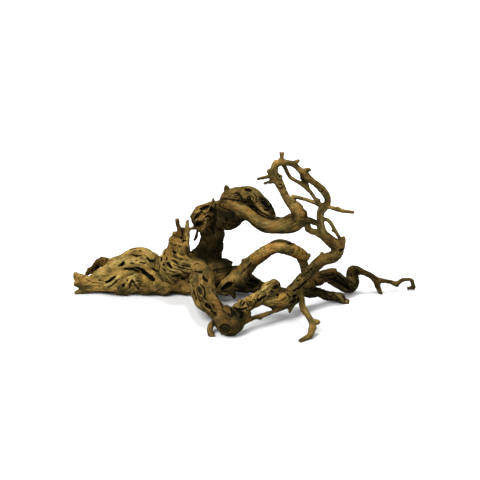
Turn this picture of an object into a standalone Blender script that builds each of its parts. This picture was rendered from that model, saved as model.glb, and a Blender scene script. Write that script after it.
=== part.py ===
"""Grapevine wood: one dried and sandblasted piece of an old vine, lying on its log, its elbow and its root tips.

The wood grew as one piece, so it is one closed solid. Every limb is a tube swept along a smooth route. The
tubes are fused by a voxel remesh, the hollows, creases and knots are pressed into the fused skin, and the
lowest spots are worn flat where the wood lies.

The limbs are laid out on a sight plane, which is how a crooked thing is easiest to measure: across it, up it,
and how far back over the ground. The plane leans back by SIGHT_TILT from upright. Sizes are millimetres
until the last step.
"""

import math

import bpy
import numpy as np

MM = 0.001
SIGHT_TILT = math.radians(25)  # how far the layout plane leans back from upright
GROUND = 0.4  # height of the ground over the layout's zero: what is lower is worn flat
CENTRE_SHIFT = np.array([2.0, 67.0, -GROUND])  # puts the middle of the footprint on the origin
GROUND_SIZE = (700, 400, 40)  # of the block that cuts the ground's plane
RING_STEP = 2.4  # spacing of the rings along a limb, and of the points round one
FUSE_VOXEL = 1.7  # grid of the remesh that fuses the limbs
SMOOTH_ROUNDS = 4  # softens the creases where limbs meet
LEVEL_REACH = 2.5  # how far round a place the skin's nearest level is looked for
SKIN_REACH = 5  # how far behind that level a hollow or a knot still moves the skin
SKIN_FACES = 10500  # triangles that the finished skin keeps

WOOD_COLOR = (0.36, 0.255, 0.15, 1.0)
WOOD_ROUGHNESS = 0.8

# Each limb: strand depth (share of the radius), strand count, twist (turns per 100 mm), then its route as
# (across, up, back, radius) in mm. Up is measured on the sight plane and back along the ground.
LIMBS = {
    "log_low": (0.13, 5, 0.5, [
        (-275, 18, 0, 13.5), (-266, 16, 0, 13), (-252, 12.5, 0, 11.5), (-236, 14, 0, 12.5),
        (-214, 17, -2, 20), (-190, 18, -3, 20), (-165, 18, -3, 20), (-140, 19, -2, 21.5), (-110, 19, 0, 22),
        (-80, 20, 4, 21), (-58, 20, 8, 20)]),
    "log_high": (0.15, 4, -0.6, [
        (-262, 13, 3, 8), (-246, 22, 5, 10), (-226, 34, 8, 13.5), (-206, 42, 10, 17.5),
        (-186, 48, 12, 20.5), (-168, 51, 14, 21), (-150, 43, 13, 19), (-128, 37, 10, 20),
        (-104, 34, 8, 20)]),
    "log_fold": (0.12, 3, 0.8, [
        (-222, 12, -8, 9), (-206, 20, -12, 11), (-192, 25, -15, 11), (-178, 22, -16, 11),
        (-164, 12, -14, 10), (-146, 12, -12, 10), (-120, 14, -12, 12)]),
    "log_back": (0.14, 4, 0.7, [
        (-240, 20, 16, 8), (-215, 28, 24, 14), (-185, 32, 28, 18), (-150, 30, 28, 20), (-115, 32, 26, 22),
        (-80, 34, 20, 23), (-56, 32, 18, 22)]),
    "end_prong_top": (0.1, 3, 0.0, [(-264, 21, 1, 9), (-272, 27, 2, 6.5), (-276.5, 34, 2, 3)]),
    "end_prong_mid": (0.1, 3, 0.0, [(-267, 15, -3, 8), (-275, 14.5, -5, 6), (-280.5, 15, -5, 3)]),
    "end_prong_low": (0.1, 3, 0.0, [(-257, 6, -2, 7), (-268, 2.5, -4, 5), (-277, -0.5, -5, 3)]),
    "back_stub": (0.12, 4, 1.0, [
        (-216, 38, 22, 13), (-228, 46, 30, 10.5), (-238, 48, 36, 9), (-249, 40, 40, 6), (-257, 34, 42, 3.6),
        (-261, 31, 43, 2.2)]),
    "knot_left": (0.16, 5, 1.0, [
        (-128, 22, -8, 18), (-122, 40, -8, 19), (-114, 56, -6, 19), (-108, 72, -5, 15.5),
        (-107, 84, -4, 12.5)]),
    "knot_right": (0.15, 5, -0.8, [
        (-132, 45, -12, 12), (-116, 45, -20, 16), (-98, 44, -24, 16), (-80, 42, -24, 15),
        (-66, 36, -24, 14)]),
    "knot_cap": (0.1, 3, 0.0, [(-114, 80, -6, 8), (-115, 90, -7, 5.5), (-115, 96, -8, 3.6)]),
    "stub_tall": (0.1, 4, 1.5, [
        (-106, 80, -4, 9), (-105, 94, -4, 6.5), (-107, 106, -5, 4.2), (-110, 115, -6, 3.3),
        (-111, 120, -6, 3)]),
    "stub_shard": (0.1, 3, 1.0, [
        (-98, 66, -6, 10), (-96, 84, -6, 6.2), (-95, 97, -6, 4.2), (-94.5, 108, -6, 3.2),
        (-95, 115, -6, 2.8)]),
    "trunk": (0.13, 6, 0.5, [
        (-70, 26, 14, 30), (-64, 46, 14, 27), (-59, 64, 12, 22.5), (-56, 80, 10, 20.5), (-57, 94, 8, 19.5),
        (-61, 108, 5, 22), (-65, 121, 3, 24), (-62, 128, 2, 23.5), (-52, 130, 0, 21)]),
    "burl": (0.1, 5, -0.7, [
        (-60, 128, 2, 20), (-44, 127, -2, 21), (-28, 127, -6, 23), (-14, 132, -10, 20), (0, 136, -14, 15)]),
    "arch_flap": (0.1, 4, 0.9, [
        (-34, 138, 4, 15), (-22, 147, 4, 18), (-6, 151, 2, 19.5), (9, 149, -2, 18), (22, 142, -5, 15),
        (34, 132, -8, 12), (43, 124, -10, 6)]),
    "swan_limb": (0.05, 4, 0.5, [
        (-28, 128, -16, 14), (-12, 131, -24, 14), (4, 129, -30, 13.5), (18, 119, -36, 13.5),
        (32, 111, -41, 13.5), (48, 108, -46, 13), (64, 108.5, -50, 13), (78, 112.5, -52, 13),
        (86, 121, -53, 12.2), (83, 131, -54, 12), (77.5, 141, -56, 11), (70.5, 150.5, -58, 10),
        (64, 160, -60, 9.4), (58, 171, -61, 9.4), (52, 183, -62, 8.8), (46.5, 194, -62, 7.2),
        (46, 204, -62, 6.6), (51, 210.5, -62, 6.6)]),
    "swan_back": (0.08, 4, 0.6, [
        (70, 112, -42, 9), (82, 119, -42, 9.5), (90, 124, -46, 8.5), (92, 132, -50, 5)]),
    "crown_stub": (0.1, 4, 0.0, [(53, 207, -62, 6), (56, 214, -62, 4), (56.5, 224, -62, 3.8)]),
    "hoop": (0.09, 4, 0.8, [
        (54, 209, -62, 6), (64, 208, -63, 4.6), (74, 205.5, -65, 4.4), (84, 197.5, -67, 4.6),
        (92, 189.5, -69, 6.2), (101, 181.5, -70, 5.4), (111, 174, -70, 5.4), (121, 165, -70, 6),
        (128, 155, -70, 5.8), (129.5, 146, -70, 5), (125, 138, -70, 5.6), (118.5, 130, -71, 7),
        (118, 118, -72, 6), (119.5, 106, -72, 6.2), (123, 96, -72, 7.2), (132, 86, -71, 9),
        (142, 78, -70, 10.2), (146.5, 68, -71, 9.4), (138, 58.5, -75, 8.8), (122, 53.5, -80, 9.8),
        (108, 41.5, -86, 9), (95, 28, -90, 8.8), (83, 15.5, -94, 9), (72, 3, -97, 11)]),
    "hoop_fin": (0.05, 3, 0.0, [(70, 206, -64, 4), (78, 208, -66, 3.6), (84, 212.5, -67, 2)]),
    "hoop_lump": (0.05, 3, 0.0, [(95, 190, -69, 5), (89, 184, -68, 3.6), (93, 178, -67, 3)]),
    "inner_twig": (0.06, 3, 0.8, [
        (56, 208, -62, 4), (62, 200, -60, 2.8), (69, 186.5, -58, 2.7), (79, 179.5, -60, 2.8),
        (91, 173, -64, 3.8), (101, 163, -67, 2.8), (108, 153.5, -69, 2.8), (115, 144.5, -70, 3.2),
        (123, 139, -70, 3.6)]),
    "cross_stick": (0.05, 3, 0.6, [
        (72, 156, -50, 2.8), (88, 152, -52, 2.8), (104, 147, -58, 3), (120, 140.5, -66, 3.4),
        (132, 137.5, -74, 3), (145, 134, -80, 3.4), (158, 131, -86, 2.6), (171, 129.5, -92, 2.3)]),
    "bridge_top": (0.08, 4, 0.5, [
        (86, 121, -48, 8), (96, 118, -54, 6), (105, 115.5, -62, 4.6), (117, 110.5, -71, 4.2)]),
    "bridge_low": (0.08, 4, 0.5, [
        (90, 116, -50, 7), (98, 108.5, -56, 4.8), (103, 99.5, -62, 4.2), (112, 97, -68, 4.8),
        (122, 92, -72, 6)]),
    "outer_twig": (0.05, 3, 0.6, [
        (119, 117, -72, 3), (127, 118.5, -74, 2.6), (132.5, 115, -76, 2.8), (139, 105.5, -77, 2.6),
        (145, 95, -76, 2.6), (150, 87, -74, 2.4), (151, 80, -72, 4)]),
    "spur_long": (0.05, 3, 0.0, [
        (44, 186, -62, 5), (35, 186, -64, 3.4), (27, 184, -66, 3), (20, 182, -67, 2.4)]),
    "spur_short": (0.05, 3, 0.0, [
        (46, 179, -62, 4), (38, 177.5, -65, 2.6), (31, 176, -67, 2), (29, 174, -67, 1.9)]),
    "horn": (0.05, 3, 0.0, [
        (-29, 152, 6, 5), (-31, 160, 5, 3.2), (-33, 167, 4, 2.8), (-31.5, 173.5, 3, 2.3)]),
    "head_spike": (0.05, 3, 0.0, [(-54, 142, -2, 7), (-52, 149, -2, 4), (-51, 155, -2, 2)]),
    "head_splinter": (0.05, 3, 0.0, [(-95, 100, -6, 2.6), (-87, 104, -4, 2), (-76, 107, 0, 3)]),
    "head_hook": (0.05, 3, 0.0, [
        (-76, 104, 2, 4), (-79, 97, 3, 2.6), (-80.5, 91, 4, 2.2), (-85, 85, 4, 2)]),
    "arm": (0.08, 4, 0.5, [
        (-46, 3, -38, 4.5), (-36, 7, -40, 12), (-25, 14, -42, 14.5), (-12, 25, -46, 14),
        (-1, 38, -50, 12.8), (9, 50, -54, 11.2), (22, 60, -58, 10.2), (36, 69.5, -61, 10),
        (49, 74.5, -62, 10.6), (62, 73.5, -62, 9.8), (75, 69, -61, 9.6), (87, 63, -60, 10.2),
        (96, 59, -60, 8), (101, 60, -60, 4.6)]),
    "arm_spike": (0.05, 3, 0.0, [(-4, 44, -50, 8), (-7, 52, -51, 5), (-8.5, 58, -51, 2.4)]),
    "arm_nub": (0.05, 3, 0.0, [(62, 78, -62, 5.5), (62.5, 84, -62, 3)]),
    "arm_down": (0.1, 4, 0.5, [(88, 60, -58, 8.5), (93, 46, -60, 7), (95, 34, -66, 7), (96, 22, -72, 7)]),
    "root_back": (0.13, 5, 0.5, [
        (-74, 30, 12, 27), (-48, 28, 2, 28), (-26, 22, -4, 26.5), (-4, 17, -10, 18.5), (16, 13, -16, 14),
        (40, 6, -28, 12.5), (64, 2, -44, 12), (86, 3, -56, 11)]),
    "leg": (0.11, 5, 0.6, [
        (-92, 44, -16, 13), (-78, 38, -30, 15), (-70, 26, -46, 17.5), (-68, 11, -66, 19),
        (-64, -5, -89, 18.5), (-56, -19, -112, 17), (-46, -31, -131, 16.5), (-36, -41, -147, 19),
        (-28, -47, -154, 21)]),
    "leg_rim": (0.1, 3, 0.8, [
        (-84, 26, -44, 8), (-83, 12, -62, 8.5), (-80, -2, -82, 7.5), (-73, -15, -104, 6.5),
        (-63, -25, -122, 7)]),
    "elbow": (0.06, 4, 0.5, [
        (-36, -22, -128, 13), (-30, -34, -141, 17), (-27, -46, -152, 21.5), (-20, -45, -152, 19),
        (-10, -40, -149, 15.5)]),
    "claw": (0.08, 3, 0.6, [
        (-46, -42, -142, 7), (-54, -45, -146, 5), (-57, -53, -151, 4.8), (-56.5, -62, -157, 4.6),
        (-52, -69, -160, 3.2)]),
    "forearm": (0.14, 4, 0.8, [
        (-16, -40, -148, 15), (-8, -27, -142, 12), (4, -18, -134, 11.5), (18, -9, -124, 12),
        (32, 1.5, -114, 12), (41, 8, -107, 12.2), (48, 13, -102, 12)]),
    "forearm_low": (0.08, 3, 0.5, [(-14, -40, -146, 14), (-4, -36, -140, 10), (4, -26, -134, 7)]),
    "wrist": (0.07, 4, 0.6, [
        (22, -9, -124, 7.5), (36, -11, -116, 11), (50, -9, -108, 14.5), (62, -7, -102, 16),
        (73, -2, -98, 13.5)]),
    "wrist_low": (0.07, 3, 0.5, [
        (44, -18, -112, 5), (58, -19, -106, 6), (70, -16, -100, 7), (80, -8, -92, 8), (88, 2, -82, 8)]),
    "wrist_spur": (0.05, 3, 0.0, [(74, -17, -100, 5), (71, -25, -104, 3), (69, -31, -107, 1.7)]),
    "bow_twig": (0.05, 3, 0.8, [
        (-8, -46, -148, 5), (4, -42, -142, 3.6), (14, -37.5, -137, 3.4), (22, -36, -133, 3.9),
        (36, -31, -125, 3), (50, -26, -116, 3.2), (62, -21, -106, 4.4)]),
    "paw": (0.07, 3, 0.6, [
        (84, 6, -86, 7), (89, -8, -98, 5.4), (90.5, -22, -113, 5.6), (96, -36, -132, 5),
        (102, -45, -147, 6.2), (103, -56, -160, 5.2), (100.5, -66, -170, 4.8), (92, -72, -176, 4.4),
        (84, -78, -182, 4.6)]),
    "paw_lump": (0.05, 3, 0.0, [(103, -45, -147, 5), (112, -44.5, -149, 4), (117, -46, -151, 2.8)]),
    "paw_lump_low": (0.05, 3, 0.0, [(104, -53, -158, 4.5), (112, -55, -159, 2.8)]),
    "joint_mass": (0.08, 4, 0.5, [(74, 0, -92, 12), (84, 4, -78, 11), (94, 9, -66, 10.5)]),
    "root_right": (0.13, 4, 0.7, [
        (78, 3, -66, 10), (96, 11, -58, 10), (110, 20, -48, 11.5), (126, 28, -38, 11), (141, 29, -28, 11),
        (153, 22, -18, 11.5), (163, 14.5, -9, 12.5), (171, 13, -3, 11), (175, 20, 1, 9), (171, 29, 3, 8)]),
    "root_neck": (0.08, 4, 0.9, [
        (172, 18, 0, 9), (170, 27, 2, 8.5), (172, 35, 4, 8.6), (182, 35, 5, 6.6), (192, 32, 5, 5),
        (202, 27, 5, 5.2), (210, 21, 4, 5.6), (217, 19, 4, 4.2), (229, 18, 6, 3.2), (240, 15.5, 8, 3.1),
        (246, 13.5, 8, 3.8), (252, 19, 9, 3), (262, 21, 10, 2.8), (270, 21, 10, 3), (273.5, 14, 9, 3),
        (274.5, 7, 9, 2.8)]),
    "root_hook": (0.05, 3, 0.0, [(275, 8, 9, 2.8), (269, 8, 9, 2.4), (262, 6.5, 9, 2)]),
    "root_spur": (0.05, 3, 0.0, [
        (209, 20, 4, 5), (213, 9, 1, 4.2), (216, 1, -3, 3.2), (221, -3.5, -8, 2.2)]),
    "root_front": (0.14, 4, 0.8, [
        (84, 4, -60, 9), (102, 2, -52, 8.4), (118, 0, -45, 9), (134, -4, -42, 9), (147, -8, -40, 9),
        (157, -13, -39, 6), (168, -15.5, -39, 4.4)]),
}

# Hollows and creases, pressed in along the line of sight: depth, then (across, up, half width) along each.
FRONT_HOLLOWS = [
    (7, [(-226, 17, 1.6), (-212, 28, 2.2)]), (8, [(-206, 43, 2.2), (-198, 48, 4)]),
    (6, [(-196, 40, 1.6), (-189, 38.5, 2.8), (-181, 40, 1.6)]),
    (8, [(-181, 41, 1.4), (-171, 38, 2.2), (-161, 29, 3.6), (-151, 22, 4.8)]),
    (8, [(-160, 56, 1.6), (-151, 51, 3.4)]), (6, [(-153, 40, 1.6), (-143, 35, 2)]),
    (6, [(-186, 62, 1.4), (-177, 59.5, 1.8), (-166, 60, 1.4)]), (6, [(-198, 12, 3.6)]), (5, [(-208, 8, 3)]),
    (5, [(-190, 11, 1.2), (-184, 24, 1.6), (-177, 13, 1.6), (-171, 5, 2)]),
    (10, [(-126, 48, 3), (-120, 41, 3.4)]), (5, [(-125, 54, 1.6), (-111, 48, 2.2), (-99, 43, 1.6)]),
    (5, [(-137, 51, 2.4), (-133, 62, 2.6)]), (6, [(-121, 29, 3), (-106, 27, 3.4), (-91, 18, 3)]),
    (4, [(-118, 67, 2), (-112, 65, 2)]), (5, [(-107, 89, 2.6)]), (4, [(-81, 35, 1.6), (-69, 35, 2)]),
    (9, [(-68, 27, 3.6), (-64, 20, 3.8)]), (9, [(-64, -17, 4.4), (-57, -23, 4)]),
    (4, [(-78, 8, 4.4), (-73, 0, 4.8)]), (5, [(-73, 14, 1.6), (-67, 4, 1.8), (-65, -8, 1.6)]),
    (5, [(-83, 4, 1.6), (-79, -8, 1.8), (-72, -22, 1.6)]),
    (6, [(-45, -4, 1.6), (-41, -14, 2.2), (-37, -24, 1.6)]), (9, [(-37, 8.5, 4), (-27, 13.5, 5)]),
    (5, [(0, 38, 1.6), (8, 50, 2)]), (5, [(-4, -27, 2.2), (4, -22, 2), (16, -10, 2), (29, -3, 2)]),
    (7, [(6.5, -15, 4.2)]), (8, [(41, 4, 3.6), (48, 11, 5)]), (4, [(84, 22, 1.6), (91, 30, 1.8)]),
    (4, [(100, 36, 1.6), (105, 41, 1.6)]), (5, [(151, 67, 4)]), (9, [(-69, 140, 4), (-58, 137, 4.6)]),
    (9, [(-82, 112, 5), (-72, 112, 6)]), (6, [(-81, 122, 2.4), (-74, 126, 2.6)]),
    (5, [(-69, 121, 1.8), (-61, 125, 2), (-55, 121, 1.8)]), (6, [(-53, 136, 3.8)]),
    (5, [(-48, 147, 2.6), (-50, 130, 3), (-46, 112, 2.6)]), (4, [(-21, 125, 3)]),
    (6, [(-2, 143, 1.6), (12, 137, 2), (22, 129, 2.2), (32, 124, 2.2), (45, 119, 2)]),
    (6, [(24, 150, 3.6), (31, 142, 5), (38, 132, 4.4)]), (4, [(55, 186, 2.4)]), (4, [(7, 151, 2.4)]),
    (6, [(140, 21, 2.4), (153, 13, 3), (167, 7, 2.4)]), (5, [(121, 4, 2), (141, -7, 2.4)]),
]

# The same from behind, where the sight plane leans the other way.
BACK_HOLLOWS = [
    (6, [(-232, 11, 1.6), (-218, 16, 2.6), (-205, 15, 1.6)]),
    (8, [(-196, 24, 1.8), (-182, 19, 3.4), (-166, 6, 4)]), (9, [(-146, 17, 4.4), (-139, 12, 5)]),
    (7, [(-126, 28, 2), (-114, 20, 3), (-104, 8, 2.4)]),
    (6, [(-180, 36, 1.6), (-165, 40, 2.4), (-150, 39, 1.8)]), (6, [(-98, 34, 3.4), (-91, 27, 3.8)]),
    (6, [(-66, 42, 2), (-58, 62, 2.8), (-57, 88, 2)]),
    (5, [(-46, 56, 1.6), (-49, 76, 2.2), (-48, 98, 1.6)]), (8, [(-70, 116, 4), (-62, 112, 4.6)]),
    (6, [(-26, 146, 2), (-6, 154, 3), (12, 152, 2)]), (5, [(-4, 134, 1.8), (12, 140, 2.4), (28, 136, 1.8)]),
    (5, [(-42, 32, 2), (-22, 26, 2.8), (-4, 25, 1.8)]), (5, [(4, 92, 1.6), (14, 100, 2)]),
]

# Knots raised from the front and from behind: (across, up, radius, height).
FRONT_KNOTS = [
    (55, 186, 6, 2.4), (58, 173, 6, 1.8), (91, 127, 7, 1.2), (7, 151, 8, 1.6), (4, 166, 7, 1.2),
    (-33, -57, 12, 1.4), (87, 67, 8, 1.6), (-84, 14, 7, 1.4), (6.5, -15, 8, 1.6),
]
BACK_KNOTS = [
    (-60, 100, 8, 1.8), (54, 126, 7, 1.6), (-158, 24, 8, 1.8), (46, 146, 7, 1.4), (66, 210, 6, 1.8),
]


def place(across, up, back):
    """A point of the sight plane, set back along the ground, in the wood's own frame."""
    height = (up - back * math.sin(SIGHT_TILT)) / math.cos(SIGHT_TILT)
    return np.array([across, back, height]) + CENTRE_SHIFT


def smooth_route(knots, step):
    """Points about step apart on a Catmull-Rom curve through the knots, each a row (x, y, z, radius)."""
    ends = [2 * knots[0] - knots[1], *knots, 2 * knots[-1] - knots[-2]]
    rows = []
    for p0, p1, p2, p3 in zip(ends, ends[1:], ends[2:], ends[3:]):
        count = max(1, round(np.linalg.norm(p2[:3] - p1[:3]) / step))
        t = (np.arange(count) / count)[:, None]
        rows.append(0.5 * (2 * p1 + (p2 - p0) * t + (2 * p0 - 5 * p1 + 4 * p2 - p3) * t**2
                           + (3 * p1 - 3 * p2 + p3 - p0) * t**3))
    return np.vstack([*rows, knots[-1][None]])


def turning_frames(route):
    """Unit tangent and two unit normals at each point, carried along the route without spinning."""
    tangent = np.gradient(route[:, :3], axis=0)
    tangent /= np.linalg.norm(tangent, axis=1)[:, None]
    side = np.cross(tangent[0], (0.0, 0.0, 1.0))
    if np.linalg.norm(side) < 0.2:
        side = np.cross(tangent[0], (0.0, 1.0, 0.0))
    sides = []
    for direction in tangent:
        side = side - direction * (side @ direction)
        side = side / np.linalg.norm(side)
        sides.append(side)
    sides = np.array(sides)
    return tangent, sides, np.cross(tangent, sides)


def strand_profile(angle, along, radius, depth, count, twist, phase):
    """Radius round a limb whose fibres stand out as twisting strands with sharp valleys between them."""
    turn = angle + 2 * math.pi * twist * along / 100 + 0.5 * np.sin(along / 17 + phase)
    broad = np.abs(np.sin(count * turn / 2 + phase)) - 0.64
    fine = np.abs(np.sin((2 * count + 1) * turn / 2 + 2 * phase)) - 0.64
    swell = 0.05 * np.sin(along / 9 + phase) + 0.04 * np.sin(along / 5.3 + 2 * phase)
    return radius * (1 + depth * broad + 0.4 * depth * fine + swell * depth / 0.1)


def limb_mesh(order, depth, count, twist, knots):
    """Points and faces of one closed limb."""
    route = smooth_route([np.append(place(*knot[:3]), knot[3]) for knot in knots], RING_STEP)
    _, side, lift = turning_frames(route)
    along = np.append(0, np.cumsum(np.linalg.norm(np.diff(route[:, :3], axis=0), axis=1)))
    around = max(8, round(2 * math.pi * route[:, 3].max() / RING_STEP))
    angle = np.arange(around) * 2 * math.pi / around
    radius = strand_profile(angle[None], along[:, None], route[:, 3:], depth, count, twist, 1.7 * order)
    rings = (route[:, None, :3] + side[:, None] * (radius * np.cos(angle))[..., None]
             + lift[:, None] * (radius * np.sin(angle))[..., None])
    points = np.vstack([rings.reshape(-1, 3), route[0, :3], route[-1, :3]])
    first, last = len(points) - 2, len(points) - 1
    faces = []
    for i in range(len(route) - 1):
        for j in range(around):
            k = (j + 1) % around
            faces.append((i * around + j, i * around + k, (i + 1) * around + k, (i + 1) * around + j))
    end = (len(route) - 1) * around
    for j in range(around):
        k = (j + 1) % around
        faces.append((first, k, j))
        faces.append((last, end + j, end + k))
    return points, faces


def mesh_object(name, points, faces):
    """A linked object holding these points, given in mm, and faces."""
    mesh = bpy.data.meshes.new(name)
    mesh.from_pydata((np.asarray(points) * MM).tolist(), [], faces)
    mesh.update()
    obj = bpy.data.objects.new(name, mesh)
    bpy.context.scene.collection.objects.link(obj)
    return obj


def fused_limbs():
    """All the limbs as one skin."""
    points, faces = [], []
    for order, (depth, count, twist, knots) in enumerate(LIMBS.values()):
        start = sum(len(p) for p in points)
        limb_points, limb_faces = limb_mesh(order, depth, count, twist, knots)
        points.append(limb_points)
        faces += [tuple(start + i for i in face) for face in limb_faces]
    limbs = mesh_object("limbs", np.vstack(points), faces)
    fuse = limbs.modifiers.new("Fuse", "REMESH")
    fuse.mode = "VOXEL"
    fuse.voxel_size = FUSE_VOXEL * MM
    soften = limbs.modifiers.new("Soften", "SMOOTH")
    soften.factor = 0.5
    soften.iterations = SMOOTH_ROUNDS
    graph = bpy.context.evaluated_depsgraph_get()
    skin = bpy.data.meshes.new_from_object(limbs.evaluated_get(graph))
    bpy.data.objects.remove(limbs)
    return skin


def sight_coordinates(points, side):
    """(across, up, towards the viewer) of points, for a viewer in front (side 1) or behind (side -1)."""
    x, y, z = (points - CENTRE_SHIFT).T
    sin, cos = math.sin(SIGHT_TILT), math.cos(SIGHT_TILT)
    return x, side * y * sin + z * cos, z * sin - side * y * cos


def share_along(x, y, knots):
    """How deep inside a hollow each point lies: 1 on its middle line, 0 at its rim and beyond."""
    best = np.zeros(len(x))
    knots = knots if len(knots) > 1 else [*knots, (knots[0][0] + 0.01, *knots[0][1:])]
    for (x0, y0, w0), (x1, y1, w1) in zip(knots, knots[1:]):
        dx, dy = x1 - x0, y1 - y0
        t = np.clip(((x - x0) * dx + (y - y0) * dy) / (dx * dx + dy * dy), 0, 1)
        off = np.hypot(x - x0 - t * dx, y - y0 - t * dy) / (w0 + t * (w1 - w0))
        best = np.maximum(best, 1 - np.minimum(off, 1) ** 2)
    return best


def near_level(across, up, towards, x, y):
    """How near to the viewer the skin comes at a place of the sight plane."""
    beside = np.hypot(across - x, up - y) < LEVEL_REACH
    return towards[beside].max()


def pressed(points, side, hollows, knots):
    """The skin's points with the hollows pressed in and the knots raised, on one side."""
    away = np.array([0.0, side * math.cos(SIGHT_TILT), -math.sin(SIGHT_TILT)])
    across, up, towards = sight_coordinates(points, side)
    moved = np.zeros(len(points))
    for depth, line in hollows:
        level = min(near_level(across, up, towards, x, y) for x, y, _ in line)
        share = np.sqrt(share_along(across, up, line))
        moved = np.maximum(moved, depth * share * (towards > level - SKIN_REACH))
    for x, y, radius, height in knots:
        level = near_level(across, up, towards, x, y)
        share = np.clip(1 - ((across - x) ** 2 + (up - y) ** 2) / radius**2, 0, 1)
        moved -= height * share**1.5 * (towards > level - SKIN_REACH)
    return points + moved[:, None] * away


def largest_island(points, faces):
    """Only the faces that hang together with the biggest body, so that no loose scrap is left."""
    label = np.arange(len(points))
    while True:
        lowest = label[faces].min(axis=1)
        new = label.copy()
        np.minimum.at(new, faces.ravel(), np.repeat(lowest, faces.shape[1]))
        new = new[new]
        if (new == label).all():
            break
        label = new
    names, sizes = np.unique(label, return_counts=True)
    keep = label == names[sizes.argmax()]
    index = np.cumsum(keep) - 1
    return points[keep], index[faces[keep[faces[:, 0]]]]


def wood_material():
    material = bpy.data.materials.new("grapevine")
    material.use_nodes = True
    shader = material.node_tree.nodes["Principled BSDF"]
    shader.inputs["Base Color"].default_value = WOOD_COLOR
    shader.inputs["Roughness"].default_value = WOOD_ROUGHNESS
    shader.inputs["Metallic"].default_value = 0.0
    return material


def ground_block():
    """The ground as a block, which cuts the lowest spots flat."""
    bpy.ops.mesh.primitive_cube_add(size=1, location=(0, 0, -GROUND_SIZE[2] / 2 * MM))
    block = bpy.context.object
    block.name = "ground"
    block.scale = [side * MM for side in GROUND_SIZE]
    block.hide_render = True
    block.display_type = "WIRE"
    return block


def grapevine_wood():
    skin = fused_limbs()
    points = np.empty(len(skin.vertices) * 3, np.float32)
    skin.vertices.foreach_get("co", points)
    points = points.reshape(-1, 3).astype(float) / MM
    faces = np.array([polygon.vertices[:] for polygon in skin.polygons])
    bpy.data.meshes.remove(skin)
    points = pressed(points, 1, FRONT_HOLLOWS, FRONT_KNOTS)
    points = pressed(points, -1, BACK_HOLLOWS, BACK_KNOTS)
    points, faces = largest_island(points, faces)
    wood = mesh_object("grapevine_wood", points, faces.tolist())
    thin = wood.modifiers.new("Thin out", "DECIMATE")
    thin.ratio = SKIN_FACES / (2 * len(faces))
    thin.use_collapse_triangulate = True
    worn = wood.modifiers.new("Worn flat", "BOOLEAN")
    worn.operation = "DIFFERENCE"
    worn.object = ground_block()
    wood.data.materials.append(wood_material())
    wood.data.shade_smooth()


def main():
    for obj in list(bpy.data.objects):
        bpy.data.objects.remove(obj)
    grapevine_wood()


main()
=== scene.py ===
# Grapevine wood, dried and sandblasted: its fine skin and its finish.
# Places are in mm: across and up on a sight plane that leans back from upright, and back along the ground.
import itertools
import math

import bpy
import numpy as np
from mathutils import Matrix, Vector
from mathutils.bvhtree import BVHTree


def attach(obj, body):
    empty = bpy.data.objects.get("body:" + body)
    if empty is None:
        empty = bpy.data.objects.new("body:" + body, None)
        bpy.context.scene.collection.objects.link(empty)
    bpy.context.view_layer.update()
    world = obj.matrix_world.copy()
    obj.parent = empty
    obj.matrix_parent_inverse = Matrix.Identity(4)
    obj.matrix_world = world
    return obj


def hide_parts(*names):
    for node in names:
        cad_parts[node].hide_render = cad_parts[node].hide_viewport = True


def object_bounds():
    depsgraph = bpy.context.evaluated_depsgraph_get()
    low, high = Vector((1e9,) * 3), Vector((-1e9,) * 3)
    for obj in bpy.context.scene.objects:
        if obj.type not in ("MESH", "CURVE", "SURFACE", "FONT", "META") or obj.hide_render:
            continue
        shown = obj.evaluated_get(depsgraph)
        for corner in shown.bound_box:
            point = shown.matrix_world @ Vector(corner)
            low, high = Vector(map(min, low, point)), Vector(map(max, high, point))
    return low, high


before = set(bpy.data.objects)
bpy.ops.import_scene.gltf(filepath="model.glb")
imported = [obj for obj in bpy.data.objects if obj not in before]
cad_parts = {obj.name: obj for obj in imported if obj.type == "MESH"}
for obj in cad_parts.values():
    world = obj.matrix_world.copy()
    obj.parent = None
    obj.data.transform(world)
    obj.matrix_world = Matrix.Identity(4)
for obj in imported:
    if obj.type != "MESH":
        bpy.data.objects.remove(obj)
cadBox = [list(corner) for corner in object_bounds()]
print("Frame loaded")

mm = 0.001
sightTilt = math.radians(25)
centreShift = np.array([2.0, 67.0, -0.4])  # puts the middle of the footprint on the origin, the ground at 0

# A limb's look: roughness of its relief, lightness, redness. The lightness is the wood's own tone, and on
# limbs that lie behind or under others it is painted shade as well.
plainLook = (0.6, 0.5, 0.3)


def nub(*route):
    # A small limb with no strands.
    return 0.0, 3, 0.0, plainLook, route


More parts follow.
